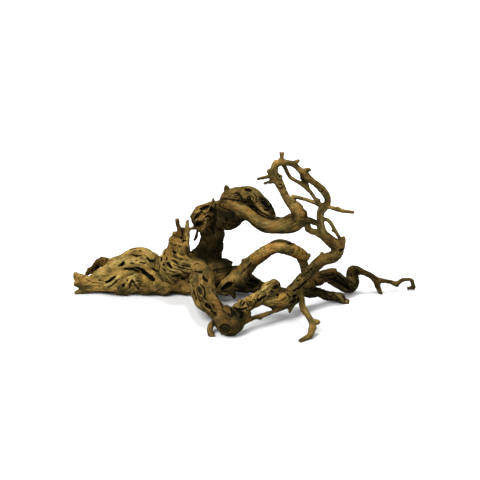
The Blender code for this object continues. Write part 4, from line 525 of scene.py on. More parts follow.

# Tints seen from the front, from left to right: strength, then (across, up, half width). Dark is mostly
# painted shade in valleys, under limbs and behind them, with some darker wood; pale is paler wood with
# painted highlights on raised ridges; the dark green-grey tint is painted shade in pits and behind limbs;
# red is the wood's own redder tone.
tints = {
    # Mostly painted shade in valleys, under limbs and behind them, with some darker wood.
    "dark": [
        (0.7, [(-258, 31, 3), (-250, 37, 3), (-245, 40, 3)]),
        (0.5, [(-212, 3, 3), (-204, 5, 5), (-198, 2, 3)]),
        (0.5, [(-190, 1, 3), (-160, 0, 3), (-130, 0, 3)]), (0.6, [(-144, 60, 3)]),
        (0.4, [(-104, 28, 4), (-92, 24, 4)]), (0.8, [(-103, 90, 2.4), (-102, 98, 2.6), (-101.6, 106, 2.4)]),
        (0.8, [(-95, 72, 3), (-93, 66, 5), (-90, 60, 4), (-80, 58, 4), (-72, 57, 5)]),
        (0.7, [(-75, 68, 10), (-60, 66, 16), (-45, 68, 12)]),
        (0.5, [(-58, 95, 8), (-54, 108, 6), (-50, 120, 5)]),
        (0.9, [(-44, 131, 9), (-34, 127, 12), (-24, 122, 13), (-14, 116, 11), (-4, 113, 6)]),
        (0.5, [(-44, 138, 5), (-40, 148, 4)]),
        (0.9, [(-38, -8.5, 1.5), (-28, -6, 3), (-18, -5, 4), (-10, 3, 4), (-2, 8, 3)]),
        (0.75, [(-37, -54, 5.5), (-31, -55.5, 5.5)]), (0.8, [(-36, 50, 6), (-28, 42, 7), (-18, 42, 6)]),
        (0.7, [(-33, -18, 5), (-27, -23, 6)]), (0.35, [(-25, -44, 13), (-18, -50, 12)]),
        (0.8, [(-22, 106, 2), (-12, 110, 3), (-6, 116, 3), (-2, 119, 1.5)]),
        (0.9, [(-20, -24, 3), (-18, -30, 6), (-12, -38, 6), (-8, -44, 5)]),
        (0.6, [(-18, 9, 5), (-5, 18, 5), (3, 26, 4)]),
        (0.5, [(2, 142, 1.4), (11, 134, 1.6), (21, 126.5, 1.6), (34, 120.5, 1.8), (43, 118, 1.8)]),
        (0.9, [(6, 29, 3), (10, 22, 4), (20, 20, 2)]),
        (0.5, [(20, 49, 2), (35, 57.5, 2.5), (45, 64, 3), (60, 66, 3.5), (70, 63, 2)]),
        (0.75, [(21, 151, 3), (29, 144.5, 4.5), (36, 137, 5), (41, 128, 4)]),
        (0.9, [(21, 154, 3), (29, 152, 4.5), (39, 145, 5.5), (45, 135, 5), (48, 125, 4)]),
        (0.5, [(34, 186, 2), (24, 183, 3), (17, 181, 3)]),
        (0.95, [(40, 81, 2), (49, 84, 3), (58, 83, 2.4), (63, 84, 2)]),
        (0.95, [(41, 82.5, 1.4), (49, 84.8, 1.7), (57, 83, 1.5)]),
        (0.7, [(62, 120, 2), (70, 122, 4), (76, 124, 3)]),
        (0.8, [(62, 82, 2), (70, 81, 2.5), (75, 79, 1.5)]),
        (0.5, [(84, 108, 3), (88, 112, 4), (91, 115, 3)]),
        (0.9, [(88, 189, 2.5), (87, 185, 2.5), (90, 181, 2.5), (93, 178, 2)]),
        (0.9, [(95, 0, 4), (105, 4, 5), (115, 8, 4)]),
        (0.7, [(96, 123, 2), (102, 119, 2.5), (113, 115, 2.5)]),
        (0.6, [(96, 112, 2), (101, 103, 2), (100, 99, 2)]),
        (0.6, [(118, 64, 1.5), (128, 65, 1.5), (136, 65, 1.5)]),
        (0.6, [(128, 97, 2), (140, 90, 3), (147, 88, 2)]),
        (0.8, [(140, 24, 2), (152, 19, 4), (165, 11, 4)]), (0.7, [(144, 39, 2), (150, 38, 2)]),
        (0.7, [(168, 8, 3), (175, 6, 4)]), (0.7, [(178, 36, 5), (181, 32, 4)]),
    ],
    "red": [
        (0.7, [(-246, 46, 5), (-236, 50, 5)]),
        (0.4, [(-178, 52, 6), (-160, 46, 5), (-140, 26, 8), (-118, 14, 7)]),
        (0.7, [(-112, 118, 3), (-106, 104, 4), (-104, 94, 4)]), (0.5, [(-84, 3, 1.5), (-79, -4, 1.5)]),
        (0.7, [(-80, 122, 6), (-72, 130, 6), (-62, 120, 6)]), (0.6, [(-38, 117, 4), (-26, 117, 3)]),
        (0.8, [(-30, -43, 6), (-20, -50, 7), (-16, -45, 5)]),
        (0.7, [(-29, 149, 3), (-15, 143, 4), (-5, 139, 3)]), (0.6, [(-16, 14, 4), (-10, 17, 4)]),
        (0.5, [(28, 117, 4), (40, 113, 4)]), (0.5, [(36, 71, 4), (45, 69, 4), (38, 63, 3)]),
        (0.5, [(44, -13, 5), (54, -12, 4)]), (0.5, [(52, 104, 5), (66, 108, 5), (82, 112, 5)]),
        (0.5, [(62, 160, 4), (72, 146, 4)]), (0.4, [(90, 44, 4), (94, 41, 3)]),
        (0.6, [(96, 16, 5), (100, 13, 5)]), (0.5, [(117, 132, 4), (121, 127, 4)]),
        (0.4, [(124, 26, 3), (140, 27, 4), (152, 26, 3)]),
    ],
    # Paler wood, and painted highlights along the raised ridges and lips.
    "pale": [
        (0.6, [(-240, 31, 3), (-228, 39, 4), (-214, 48, 4), (-200, 56, 4)]),
        (0.6, [(-228, 13, 2), (-215, 18, 2), (-206, 27, 2)]),
        (0.7, [(-184, 27, 1.6), (-189, 20, 1.6), (-194, 12, 1.4)]),
        (0.7, [(-183.5, 27, 1.6), (-179, 20, 1.6), (-175, 13, 1.4)]),
        (0.7, [(-139, 47, 1.5), (-140, 55, 1.6), (-136, 62, 1.6)]),
        (0.8, [(-96, 88, 1.6), (-95, 100, 1.8), (-95, 112, 1.8)]),
        (0.8, [(-83, 117.5, 1.6), (-76, 119, 1.8), (-71, 120, 1.8), (-65.5, 124, 1.8), (-61.5, 127, 1.8)]),
        (0.7, [(-82, 128, 2.4), (-76, 131, 2.6)]),
        (0.4, [(-80, 130, 6), (-74, 137, 5), (-66, 144, 4), (-54, 145, 4)]),
        (0.8, [(-64, 120, 1.8), (-64.5, 112.5, 2), (-67, 105, 2), (-71, 102.5, 1.8)]),
        (0.5, [(-60, -27, 2), (-66, -11, 2)]), (0.7, [(-56, 118, 1.6), (-56.5, 112, 1.6)]),
        (0.8, [(-55.5, 142, 1.5), (-60.5, 134, 1.5), (-63, 131, 2.2), (-68, 131, 2.4)]),
        (0.7, [(-43, -50, 1.6), (-43.5, -57, 1.6), (-38, -62, 1.6), (-31, -64, 1.4)]),
        (0.5, [(-28, 146, 3), (-14, 142, 3), (-4, 138, 3)]),
        (0.5, [(-26, 24, 4), (-18, 28, 5), (-34, 22, 3)]), (0.5, [(-14, 127, 3)]),
        (0.6, [(3, 6.5, 3), (12, 6, 3), (20, 9, 2.5)]),
        (0.35, [(6, 127, 4), (24, 115, 4), (44, 106, 5), (62, 106, 4)]),
        (0.95, [(10, 151, 3.5), (17, 142, 3.8), (25, 133.5, 3.6), (32, 128.5, 3), (39, 124, 2.4)]),
        (0.6, [(33, 11, 3), (30, 7, 3), (20, 1, 3)]), (0.3, [(56, 172, 7), (55, 186, 7)]),
        (0.3, [(76, 140, 5), (86, 128, 5)]), (0.5, [(85, -76, 3), (88, -78, 3)]),
        (0.5, [(95, 184, 3), (99, 184, 2)]), (0.6, [(100, 16, 2)]),
        (0.6, [(121, 125, 2), (121, 108, 2), (123, 98, 2)]), (0.6, [(134, -2, 2), (143, -6, 2)]),
        (0.9, [(145, -1, 3), (152, -5, 3.5), (157, -12, 3), (166, -15, 2)]),
        (0.6, [(158, 31, 2.5), (167, 26, 2.8), (176, 19, 2.4)]),
        (0.5, [(160, 34, 4), (164, 30, 4), (172, 24, 3)]),
    ],
    # Painted shade, dark green-grey, in pits and on parts that lie behind.
    "greenShade": [
        (0.8, [(-76, 8, 3), (-73, 2, 3)]), (0.5, [(-50, 110, 4), (-50, 120, 4)]), (0.8, [(-34, -55, 6)]),
        (0.6, [(62, 118, 2), (74, 123, 4), (82, 124, 3)]), (0.8, [(67, 80, 2), (74, 79, 2)]),
        (0.5, [(93, 48, 4), (95, 36, 4)]), (0.5, [(106, -3, 4), (118, -4, 4), (127, -9, 4)]),
    ],
}

# Knots raised from the front and from behind: (across, up, radius, height).
frontKnots = [
    (91, 127, 7, 1.2), (7, 151, 8, 1.6), (4, 166, 7, 1.2), (-33, -56, 10, 1.4), (87, 67, 7, 1.4),
    (-84, 14, 5.5, 1.2), (6.5, -15, 8, 1.4), (-80, 48, 4.5, 1.4), (-77, 39.5, 5.5, 1.6), (-3, 27, 6, 1.4),
    (-3, 54, 3, 0.8), (-14.5, 125.5, 2.5, 1), (-31, 116, 6, 1), (98, 14, 6, 1.2),
]
backKnots = [
    (-60, 100, 8, 1.8), (54, 126, 7, 1.6), (-158, 24, 8, 1.8), (46, 146, 7, 1.4), (66, 210, 6, 1.8),
]


# Node trees

class Socket:
    # An output in a node tree. Sums with it add Math nodes to the tree.
    def __init__(self, tree, output):
        self.tree = tree
        self.output = output

    def maths(self, operation, *others):
        return addNode(self.tree, "ShaderNodeMath", {"operation": operation}, [self, *others])

    def vector(self, operation, *values):
        return addNode(self.tree, "ShaderNodeVectorMath", {"operation": operation}, [self, *values])

    def scaled(self, amount):
        return addNode(self.tree, "ShaderNodeVectorMath", {"operation": "SCALE"},
                       {"Vector": self, "Scale": amount})

    def __add__(self, other):
        return self.maths("ADD", other)

    def __sub__(self, other):
        return self.maths("SUBTRACT", other)

    def __rsub__(self, other):
        return self * -1 + other

    def __mul__(self, other):
        return self.maths("MULTIPLY", other)

    def __truediv__(self, other):
        return self.maths("DIVIDE", other)

    def __abs__(self):
        return self.maths("ABSOLUTE")

    __radd__ = __add__
    __rmul__ = __mul__


def addNode(tree, kind, settings=None, values=(), out=0):
    # Values go in by place or by name among the sockets in use, and out picks the output likewise.
    node = tree.nodes.new(kind)
    for key, value in (settings or {}).items():
        setattr(node, key, value)
    inputs = [socket for socket in node.inputs if socket.enabled]
    for key, value in (values.items() if isinstance(values, dict) else enumerate(values)):
        socket = inputs[key] if isinstance(key, int) else next(s for s in inputs if s.name == key)
        if isinstance(value, Socket):
            tree.links.new(value.output, socket)
        else:
            socket.default_value = value
    outputs = [socket for socket in node.outputs if socket.enabled]
    return Socket(tree, outputs[out] if isinstance(out, int) else next(s for s in outputs if s.name == out))


# Routes of the limbs

skin = {
    "routeStep": 1.4,  # mm between the places along a limb
    "phaseStep": 1.7,  # how far each limb's pattern is shifted against the last one's
    "sway": 0.5,  # radians that the strands sway to and fro
    "swayLength": 17,  # mm along the limb for one radian of that sway
    "slowSwell": (9, 0.5),  # strands that swell along the limb: mm for a radian, and how much
    "quickSwell": (5.3, 0.4),
    "fineStrands": 0.4,  # height of the finer strands beside the main ones
    "strandMiddle": 0.64,  # of a strand's height, the level of the limb's own radius
    "around": 44,  # points round a limb
    "regain": 1.6,  # mm2 over the radius, given back to a limb that the softening thins
    "firstGrid": 1.2,  # mm, the remesh that fuses the limbs
    "lastGrid": 0.85,  # mm, the remesh after the hollows are pressed
    "firstSoftening": 5,  # rounds that round off the creases where limbs meet
    "lastSoftening": 1,
    "evening": 1,  # rounds that take spikes out of the grain
    "faces": 196000,
}


def place(across, up, back):
    # A point of the sight plane, set back along the ground, in the wood's own frame.
    height = (up - back * math.sin(sightTilt)) / math.cos(sightTilt)
    return np.array([across, back, height]) + centreShift


def smoothRoute(knots, step):
    # Points about step apart on a Catmull-Rom curve through the knots, each a row (x, y, z, radius).
    ends = [2 * knots[0] - knots[1], *knots, 2 * knots[-1] - knots[-2]]
    rows = []
    for p0, p1, p2, p3 in zip(ends, ends[1:], ends[2:], ends[3:]):
        count = max(1, round(np.linalg.norm(p2[:3] - p1[:3]) / step))
        t = (np.arange(count) / count)[:, None]
        rows.append(0.5 * (2 * p1 + (p2 - p0) * t + (2 * p0 - 5 * p1 + 4 * p2 - p3) * t**2
                           + (3 * p1 - 3 * p2 + p3 - p0) * t**3))
    return np.vstack([*rows, knots[-1][None]])


def turningFrames(route):
    # Unit tangent and two unit normals at each point, carried along the route without spinning.
    tangent = np.gradient(route[:, :3], axis=0)
    tangent /= np.linalg.norm(tangent, axis=1)[:, None]
    side = np.cross(tangent[0], (0.0, 0.0, 1.0))
    if np.linalg.norm(side) < 0.2:  # the limb starts nearly upright
        side = np.cross(tangent[0], (0.0, 1.0, 0.0))
    sides = []
    for direction in tangent:
        side = side - direction * (side @ direction)
        side = side / np.linalg.norm(side)
        sides.append(side)
    sides = np.array(sides)
    return tangent, sides, np.cross(tangent, sides)


class Limb:
    # One limb's route with all that is read along it.
    def __init__(self, order, depth, count, twist, look, places):
        knots = [np.append(place(across, up, back), radius) for across, up, back, radius in places]
        route = smoothRoute(knots, skin["routeStep"])
        self.depth, self.count, self.twist = depth, count, twist
        self.rough, self.light, self.red = look
        self.phase = skin["phaseStep"] * order
        self.centre = route[:, :3]
        self.radius = route[:, 3] + skin["regain"] / route[:, 3]
        self.tangent, self.side, self.lift = turningFrames(route)
        self.along = np.append(0, np.cumsum(np.linalg.norm(np.diff(self.centre, axis=0), axis=1)))

    def locate(self, points):
        # Where points lie for the limb: along it, turn with the twist taken out, away, radius there.
        square = (points**2).sum(1)[:, None] - 2 * points @ self.centre.T + (self.centre**2).sum(1)
        nearest = square.argmin(axis=1)
        arm = points - self.centre[nearest]
        past = np.clip((arm * self.tangent[nearest]).sum(1), -skin["routeStep"], skin["routeStep"])
        x = (arm * self.side[nearest]).sum(1)
        y = (arm * self.lift[nearest]).sum(1)
        along = self.along[nearest] + past
        sway = skin["sway"] * np.sin(along / skin["swayLength"] + self.phase)
        turn = np.arctan2(y, x) + math.tau * self.twist * along / 100 + sway
        away = np.linalg.norm(arm - past[:, None] * self.tangent[nearest], axis=1)
        return along, turn, away, np.interp(along, self.along, self.radius)


# The limbs as swept tubes

def routeLines():
    # The limbs' routes as lines of edges, with what the tree reads at each point.
    rows = []
    edges = []
    for limb in routes:
        start = sum(len(row) for row in rows)
        count = len(limb.centre)
        edges += [(start + i, start + i + 1) for i in range(count - 1)]
        same = np.tile([limb.depth, limb.count, limb.twist, limb.phase], (count, 1))
        rows.append(np.hstack([limb.centre * mm, limb.side, limb.lift, limb.radius[:, None] * mm,
                               limb.along[:, None], same]))
    table = np.vstack(rows)
    mesh = bpy.data.meshes.new("limb routes")
    mesh.from_pydata(table[:, :3].tolist(), edges, [])
    for name, column in {"centre": 0, "side": 3, "lift": 6}.items():
        values = np.ascontiguousarray(table[:, column:column + 3], np.float32)
        mesh.attributes.new(name, "FLOAT_VECTOR", "POINT").data.foreach_set("vector", values.ravel())
    names = ("radius", "along", "strandDepth", "strandCount", "twist", "phase")
    for column, name in enumerate(names, 9):
        values = np.ascontiguousarray(table[:, column], np.float32)
        mesh.attributes.new("limb " + name, "FLOAT", "POINT").data.foreach_set("value", values)
    obj = bpy.data.objects.new("limbs", mesh)
    bpy.context.scene.collection.objects.link(obj)
    return obj


def limbTree():
    # Sweeps a circle along each route and shapes it into twisted strands.
    tree = bpy.data.node_groups.new("swept limbs", "GeometryNodeTree")
    inputs = {"Lines": "Geometry", "Points round a limb": "Int", "Fine strand share": "Float",
              "Wood": "Material"}
    for name, kind in inputs.items():
        tree.interface.new_socket(name, in_out="INPUT", socket_type="NodeSocket" + kind)
    tree.interface.new_socket("Limbs", in_out="OUTPUT", socket_type="NodeSocketGeometry")
    given = tree.nodes.new("NodeGroupInput")
    lines, around, fineShare, material = (Socket(tree, given.outputs[name]) for name in inputs)

    def named(name, kind="FLOAT"):
        return addNode(tree, "GeometryNodeInputNamedAttribute", {"data_type": kind}, {"Name": name})

    def wave(angle):
        return abs(angle.maths("SINE")) - skin["strandMiddle"]

    def swell(length, height, start):
        return (along / length + start).maths("SINE") * height

    curves = addNode(tree, "GeometryNodeMeshToCurve", values={"Mesh": lines})
    circle = addNode(tree, "GeometryNodeCurvePrimitiveCircle", values={"Resolution": around, "Radius": 1.0})
    share = addNode(tree, "GeometryNodeSplineParameter", out="Factor")
    circle = addNode(tree, "GeometryNodeStoreNamedAttribute", {"data_type": "FLOAT", "domain": "POINT"},
                     {"Geometry": circle, "Name": "circle share", "Value": share})
    tubes = addNode(tree, "GeometryNodeCurveToMesh",
                    values={"Curve": curves, "Profile Curve": circle, "Fill Caps": True})
    angle = named("circle share") * -2 * math.pi
    names = ("along", "phase", "strandDepth", "strandCount")
    along, phase, depth, count = (named("limb " + name) for name in names)
    sway = swell(skin["swayLength"], skin["sway"], phase)
    turn = angle + named("limb twist") * along * (math.tau / 100) + sway
    swells = swell(*skin["slowSwell"], phase) + swell(*skin["quickSwell"], phase * 2)
    fine = wave((count * 2 + 1) * turn / 2 + phase * 2) * fineShare
    strands = wave(count * turn / 2 + phase) + fine + swells
    radius = named("limb radius") * (depth * strands + 1)
    sideways = named("side", "FLOAT_VECTOR").scaled(radius * angle.maths("COSINE"))
    upwards = named("lift", "FLOAT_VECTOR").scaled(radius * angle.maths("SINE"))
    position = named("centre", "FLOAT_VECTOR").vector("ADD", sideways).vector("ADD", upwards)
    tubes = addNode(tree, "GeometryNodeSetPosition", values={"Geometry": tubes, "Position": position})
    tubes = addNode(tree, "GeometryNodeRealizeInstances", values={"Geometry": tubes})
    tubes = addNode(tree, "GeometryNodeSetMaterial", values={"Geometry": tubes, "Material": material})
    tree.links.new(tubes.output, tree.nodes.new("NodeGroupOutput").inputs["Limbs"])
    return tree


def addTree(obj, tree, values):
    # The tree as a modifier, with its inputs set by their identifiers.
    modifier = obj.modifiers.new(tree.name, "NODES")
    modifier.node_group = tree
    for item in tree.interface.items_tree:
        if item.in_out == "INPUT" and item.name in values:
            modifier[item.identifier] = values[item.name]


def evaluatedMesh(obj):
    # The object's mesh with its modifiers applied. The object itself goes.
    mesh = bpy.data.meshes.new_from_object(obj.evaluated_get(bpy.context.evaluated_depsgraph_get()))
    bpy.data.objects.remove(obj)
    return mesh


def meshObject(name, points, faces):
    mesh = bpy.data.meshes.new(name)
    mesh.from_pydata((points * mm).tolist(), [], faces.tolist())
    mesh.update()
    obj = bpy.data.objects.new(name, mesh)
    bpy.context.scene.collection.objects.link(obj)
    return obj


def meshPoints(mesh):
    points = np.empty(len(mesh.vertices) * 3, np.float32)
    mesh.vertices.foreach_get("co", points)
    return points.reshape(-1, 3).astype(float) / mm


def meshNormals(mesh):
    normals = np.empty(len(mesh.vertices) * 3, np.float32)
    mesh.vertex_normals.foreach_get("vector", normals)
    return normals.reshape(-1, 3).astype(float)


def meshFaces(mesh):
    # All the faces have as many corners as the first one.
    corners = np.empty(len(mesh.loops), np.int32)
    mesh.loops.foreach_get("vertex_index", corners)
    return corners.reshape(len(mesh.polygons), -1).astype(int)


def fused(obj, grid, rounds):
    # One skin over all that the object holds, softened by some rounds.
    fuse = obj.modifiers.new("Fuse", "REMESH")
    fuse.mode = "VOXEL"
    fuse.voxel_size = grid * mm
    soften = obj.modifiers.new("Soften", "SMOOTH")
    soften.factor = 0.5
    soften.iterations = rounds
    return evaluatedMesh(obj)


# Relief

def noise(places, seed):
    # Smooth noise of about -1 to 1 at each row, one bump a unit. Each corner of a cell has a slope of its
    # own, picked by a key that large numbers scramble.
    cell = np.floor(places).astype(np.int64)
    part = places - cell
    fade = part**3 * (part * (part * 6 - 15) + 10)
    slopes = np.random.default_rng(seed).normal(size=(256, 3))
    slopes /= np.linalg.norm(slopes, axis=1)[:, None]
    total = np.zeros(len(places))
    for corner in itertools.product((0, 1), repeat=3):
        at = cell + corner
        key = at[:, 0] * 73856093 ^ at[:, 1] * 19349663 ^ at[:, 2] * 83492791 ^ seed * 265443
        key = ((key >> 13) ^ key) * 127413 & 0xFFFFFF
        key = (key >> 9) ^ key
        share = np.prod(np.where(corner, fade, 1 - fade), axis=1)
        total += share * (slopes[key & 255] * (part - corner)).sum(1)
    return total * 1.5  # the sum alone stays within about two thirds


pressing = {
    "levelReach": 2.5,  # mm round a place within which its foremost skin is looked for
    "skinReach": 5,  # mm behind that level that a hollow still moves the skin
    "wobble": 0.6,  # mm that the lines of hollows stray
    "wobbleLength": 5,
    "rimWander": 0.3,  # how ragged the rims of hollows are
    "rimLength": 3,
    "spread": 1.9,  # half widths from its middle to where a hollow's lip ends
    "ridgeSpread": 1.5,
    "lip": 0.1,  # height of a hollow's raised lip, as a share of its depth
    "lipPlace": 1.3,  # half widths from the middle
    "lipWidth": 0.3,
    "lipDepth": 6,  # mm of depth from which lips get no higher
    "hollowFrom": 0.2,  # mm of depth from which nothing is raised
    "ringHeight": 0.45,  # mm, the rings of a knot
    "ringSpacing": 2.2,
    "ringReach": 1.1,  # knot radii
    "wide": 1.5,  # half width from which a hollow is pressed before the last remesh
}


class Sight:
    # Points of the skin as they lie for a viewer in front (side 1) or behind (side -1).
    def __init__(self, points, side):
        x, y, z = (points - centreShift).T
        sin, cos = math.sin(sightTilt), math.cos(sightTilt)
        bumps = points / pressing["wobbleLength"]
        self.across = x + pressing["wobble"] * noise(bumps, 21)
        self.up = side * y * sin + z * cos + pressing["wobble"] * noise(bumps, 22)
        self.towards = z * sin - side * y * cos
        self.away = np.array([0.0, side * cos, -sin])
        self.wander = 1 + pressing["rimWander"] * noise(points / pressing["rimLength"], 3)

    def nearest(self, x, y, near):
        # Which of the points near lies foremost at a place of the sight plane, or None.
        beside = near[np.hypot(self.across[near] - x, self.up[near] - y) < pressing["levelReach"]]
        return beside[self.towards[beside].argmax()] if len(beside) else None

    def stroke(self, line, spread, reach):
        # The foremost points along a line, with their distance from its middle in half widths.
        if len(line) == 1:
            line = [*line, (line[0][0] + 0.01, *line[0][1:])]  # a dot is a very short line
        places = np.array(line)
        width = max(places[:, 2].max() * spread, pressing["levelReach"])
        low = places.min(axis=0) - width
        high = places.max(axis=0) + width
        near = np.flatnonzero((self.across > low[0]) & (self.across < high[0])
                              & (self.up > low[1]) & (self.up < high[1]))
        across, up = self.across[near], self.up[near]
        levels = []
        for x, y, _ in line:
            top = self.nearest(x, y, near)
            levels.append(-1000 if top is None else self.towards[top])  # without skin, behind everything
        off = np.full(len(near), 9.0)  # wider than any spread
        level = np.zeros(len(near))
        for (x0, y0, w0), (x1, y1, w1), level0, level1 in zip(line, line[1:], levels, levels[1:]):
            dx, dy = x1 - x0, y1 - y0
            t = np.clip(((across - x0) * dx + (up - y0) * dy) / (dx * dx + dy * dy), 0, 1)
            here = np.hypot(across - x0 - t * dx, up - y0 - t * dy) / (w0 + t * (w1 - w0))
            level = np.where(here < off, level0 + t * (level1 - level0), level)
            off = np.minimum(off, here)
        off = off * self.wander[near]
        seen = (off < spread) & (self.towards[near] > level - reach)
        return near[seen], off[seen]


def pressed(points, side, hollows, knots):
    # The skin's points with the hollows pressed in, and the ridges and knots raised, on one side.
    sight = Sight(points, side)
    everywhere = np.arange(len(points))
    moved = np.zeros(len(points))
    raised = np.zeros(len(points))
    for depth, line in hollows:
        near, off = sight.stroke(line, pressing["spread"], pressing["skinReach"])
        if depth < 0:
            ridge = -depth * dome(off / pressing["ridgeSpread"])
            raised[near] = np.maximum(raised[near], ridge)
            continue
        moved[near] = np.maximum(moved[near], depth * np.sqrt(1 - np.minimum(off, 1) ** 2))
        lip = np.exp(-((off - pressing["lipPlace"]) / pressing["lipWidth"]) ** 2)
        lip = lip * pressing["lip"] * min(depth, pressing["lipDepth"])
        raised[near] = np.maximum(raised[near], lip)
    moved -= raised * (moved < pressing["hollowFrom"])
    for x, y, radius, height in knots:
        level = sight.towards[sight.nearest(x, y, everywhere)]
        off = np.hypot(sight.across - x, sight.up - y) / radius
        front = sight.towards > level - pressing["skinReach"]
        rings = pressing["ringHeight"] * np.cos(math.tau * off * radius / pressing["ringSpacing"])
        rings = rings * (off < pressing["ringReach"])
        moved -= (height * dome(off) + rings * min(1, height)) * front
    return points + moved[:, None] * sight.away


def dome(off):
    # 1 in the middle, 0 from a distance of 1 on.
    return np.clip(1 - off**2, 0, 1) ** 1.5


def byWidth(hollows, wide):
    # The hollows that the first, coarser skin can carry, or else the narrow ones.
    return [(depth, line) for depth, line in hollows
            if (max(half for _, _, half in line) > pressing["wide"]) == wide]


reliefSettings = {
    "reach": 8,  # mm outside a limb within which its grain still shapes the skin
    "blend": 3,  # mm over which one limb's grain gives way to the next
    "inside": 4,  # mm inside a limb from which its share grows no more
    "ridge": (6, 55, 2.2),  # width, length and height in mm, of the ridges between valleys
    "crack": (7, 34, 4.0),
    "pit": (4.5, 12, 3.0),
    "lump": (14, 22, 2.2),
    "fibre": (2.2, 22, 0.6),
    "ridgeShape": (0.35, 0.6, 0.75),  # half width of a valley, how round it is, and the middle height
    "crackShape": (0.16, 0.7),  # half width and how round it is
    "crackPatches": (3, 0.3),  # how sharply cracked patches end, and how common they are
    "pitShape": (0.42, 0.25),  # the noise from which a pit starts, and how much more fills it
    "smoothLumps": 0.4,  # share of the lumps' height on a limb with no roughness
    "smoothFibres": 0.5,
    "roughCracks": (1.5, 1.2),  # how much faster cracks grow with roughness, and up to what
    "fullRadius": 11,  # mm, the thickness of limb that has relief in full size
    "smallest": 0.35,  # size of the relief on twigs
    "grainShift": 137,  # mm of grain between limbs, for each unit of their phase
    "knotReach": 8,  # mm from a knot's middle to a limb's skin, for its grain to be led aside
    "knotHeight": 7,  # mm that a knot may stand out
    "knotFlow": 1.0,  # how far grain is pushed aside by a knot, in knot radii
    "knotFlowShape": (0.55, 3),  # stretch along the grain, and knot radii over which it fades
}


def flowRound(limb, along, turn, away, knotPlaces):
    # The grain's angle, led round the knots that sit on this limb.
    stretch, fadeOut = reliefSettings["knotFlowShape"]
    for centre, radius in knotPlaces:
        reach = limb.radius.max() + reliefSettings["knotReach"]
        if np.linalg.norm(limb.centre - centre, axis=1).min() > reach:
            continue
        knotAlong, knotTurn, knotAway, knotRadius = (value[0] for value in limb.locate(centre[None]))
        if knotAway > knotRadius + reliefSettings["knotHeight"]:
            continue
        aside = (turn - knotTurn + math.pi) % math.tau - math.pi
        square = (aside * away) ** 2 + (stretch * (along - knotAlong)) ** 2
        push = np.minimum(radius**2 / np.maximum(square, 1e-3), 1)
        push = push * np.exp(-square / (fadeOut * radius) ** 2)
        turn = turn - aside * push * reliefSettings["knotFlow"]
    return turn


def grainPlaces(limb, points, knotPlaces):
    # Coordinates in which the limb's grain runs straight along the third axis.
    along, turn, away, radius = limb.locate(points)
    turn = flowRound(limb, along, turn, away, knotPlaces)
    shifted = along + reliefSettings["grainShift"] * limb.phase
    return np.stack([away * np.cos(turn), away * np.sin(turn), shifted], axis=1), away, radius


def limbRelief(grain, radius, rough):
    # Height of the skin over the limb's plain surface, in mm.
    size = np.clip(radius / reliefSettings["fullRadius"], reliefSettings["smallest"], 1)

    def field(name, seed):
        width, length, _ = reliefSettings[name]
        return noise(grain / (np.array([width, width, length]) * size[:, None]), seed)

    halfWidth, roundness, middle = reliefSettings["ridgeShape"]
    ridge = np.minimum(np.abs(field("ridge", 11)) / halfWidth, 1) ** roundness - middle
    sharpness, common = reliefSettings["crackPatches"]
    cracked = np.clip(field("lump", 12) * sharpness + common, 0, 1)
    halfWidth, roundness = reliefSettings["crackShape"]
    crack = np.clip(1 - np.abs(field("crack", 13)) / halfWidth, 0, 1) ** roundness * cracked
    start, more = reliefSettings["pitShape"]
    pit = np.clip((field("pit", 14) - start) / more, 0, 1)
    power, most = reliefSettings["roughCracks"]
    lumps, fibres = reliefSettings["smoothLumps"], reliefSettings["smoothFibres"]
    height = (reliefSettings["ridge"][2] * ridge * rough
              - reliefSettings["crack"][2] * crack * min(rough**power, most)
              - reliefSettings["pit"][2] * pit * rough
              + reliefSettings["lump"][2] * field("lump", 15) * (lumps + (1 - lumps) * rough)
              + reliefSettings["fibre"][2] * field("fibre", 16) * (fibres + (1 - fibres) * rough))
    return height * size


def limbShare(gap, blend):
    # How much a limb has to say at points this far outside its surface.
    return np.exp(-np.maximum(gap, -reliefSettings["inside"]) / blend)


def nearLimbs(points, reach):
    # For each limb, the points that may lie on its skin.
    for limb in routes:
        far = limb.radius.max() + reach
        low = limb.centre.min(axis=0) - far
        high = limb.centre.max(axis=0) + far
        near = np.flatnonzero(((points > low) & (points < high)).all(axis=1))
        if len(near):
            yield limb, near


def relief(points, knotPlaces):
    # The blended relief of all the limbs at each point.
    weight = np.full(len(points), 1e-6)  # never 0, since it divides
    height = np.zeros(len(points))
    for limb, near in nearLimbs(points, reliefSettings["reach"]):
        grain, away, radius = grainPlaces(limb, points[near], knotPlaces)
        close = away - radius < reliefSettings["reach"]
        near, grain, away, radius = near[close], grain[close], away[close], radius[close]
        share = limbShare(away - radius, reliefSettings["blend"])
        height[near] += share * limbRelief(grain, radius, limb.rough)
        weight[near] += share
    return height / weight


def evened(height, faces, rounds):
    # Heights at the points, each drawn towards its faces' mean, which takes out spikes.
    corners = faces.ravel()
    uses = np.maximum(np.bincount(corners, minlength=len(height)), 1)
    for _ in range(rounds):
        mean = np.repeat(height[faces].mean(axis=1), faces.shape[1])
        height = np.bincount(corners, mean, len(height)) / uses
    return height


def largestIsland(points, faces):
    # Only the faces that hang together with the biggest body, so that no loose scrap is left.
    label = np.arange(len(points))
    while True:
        lowest = label[faces].min(axis=1)
        new = label.copy()
        np.minimum.at(new, faces.ravel(), np.repeat(lowest, faces.shape[1]))
        new = new[new]
        if (new == label).all():
            break
        label = new
    names, sizes = np.unique(label, return_counts=True)
    keep = label == names[sizes.argmax()]
    index = np.cumsum(keep) - 1
    return points[keep], index[faces[keep[faces[:, 0]]]]


def knotCentres(points):
    # Where each knot sits on the skin, with its radius.
    centres = []
    everywhere = np.arange(len(points))
    for side, knots in ((1, frontKnots), (-1, backKnots)):
        sight = Sight(points, side)
        centres += [(points[sight.nearest(x, y, everywhere)], radius) for x, y, radius, _ in knots]
    return centres


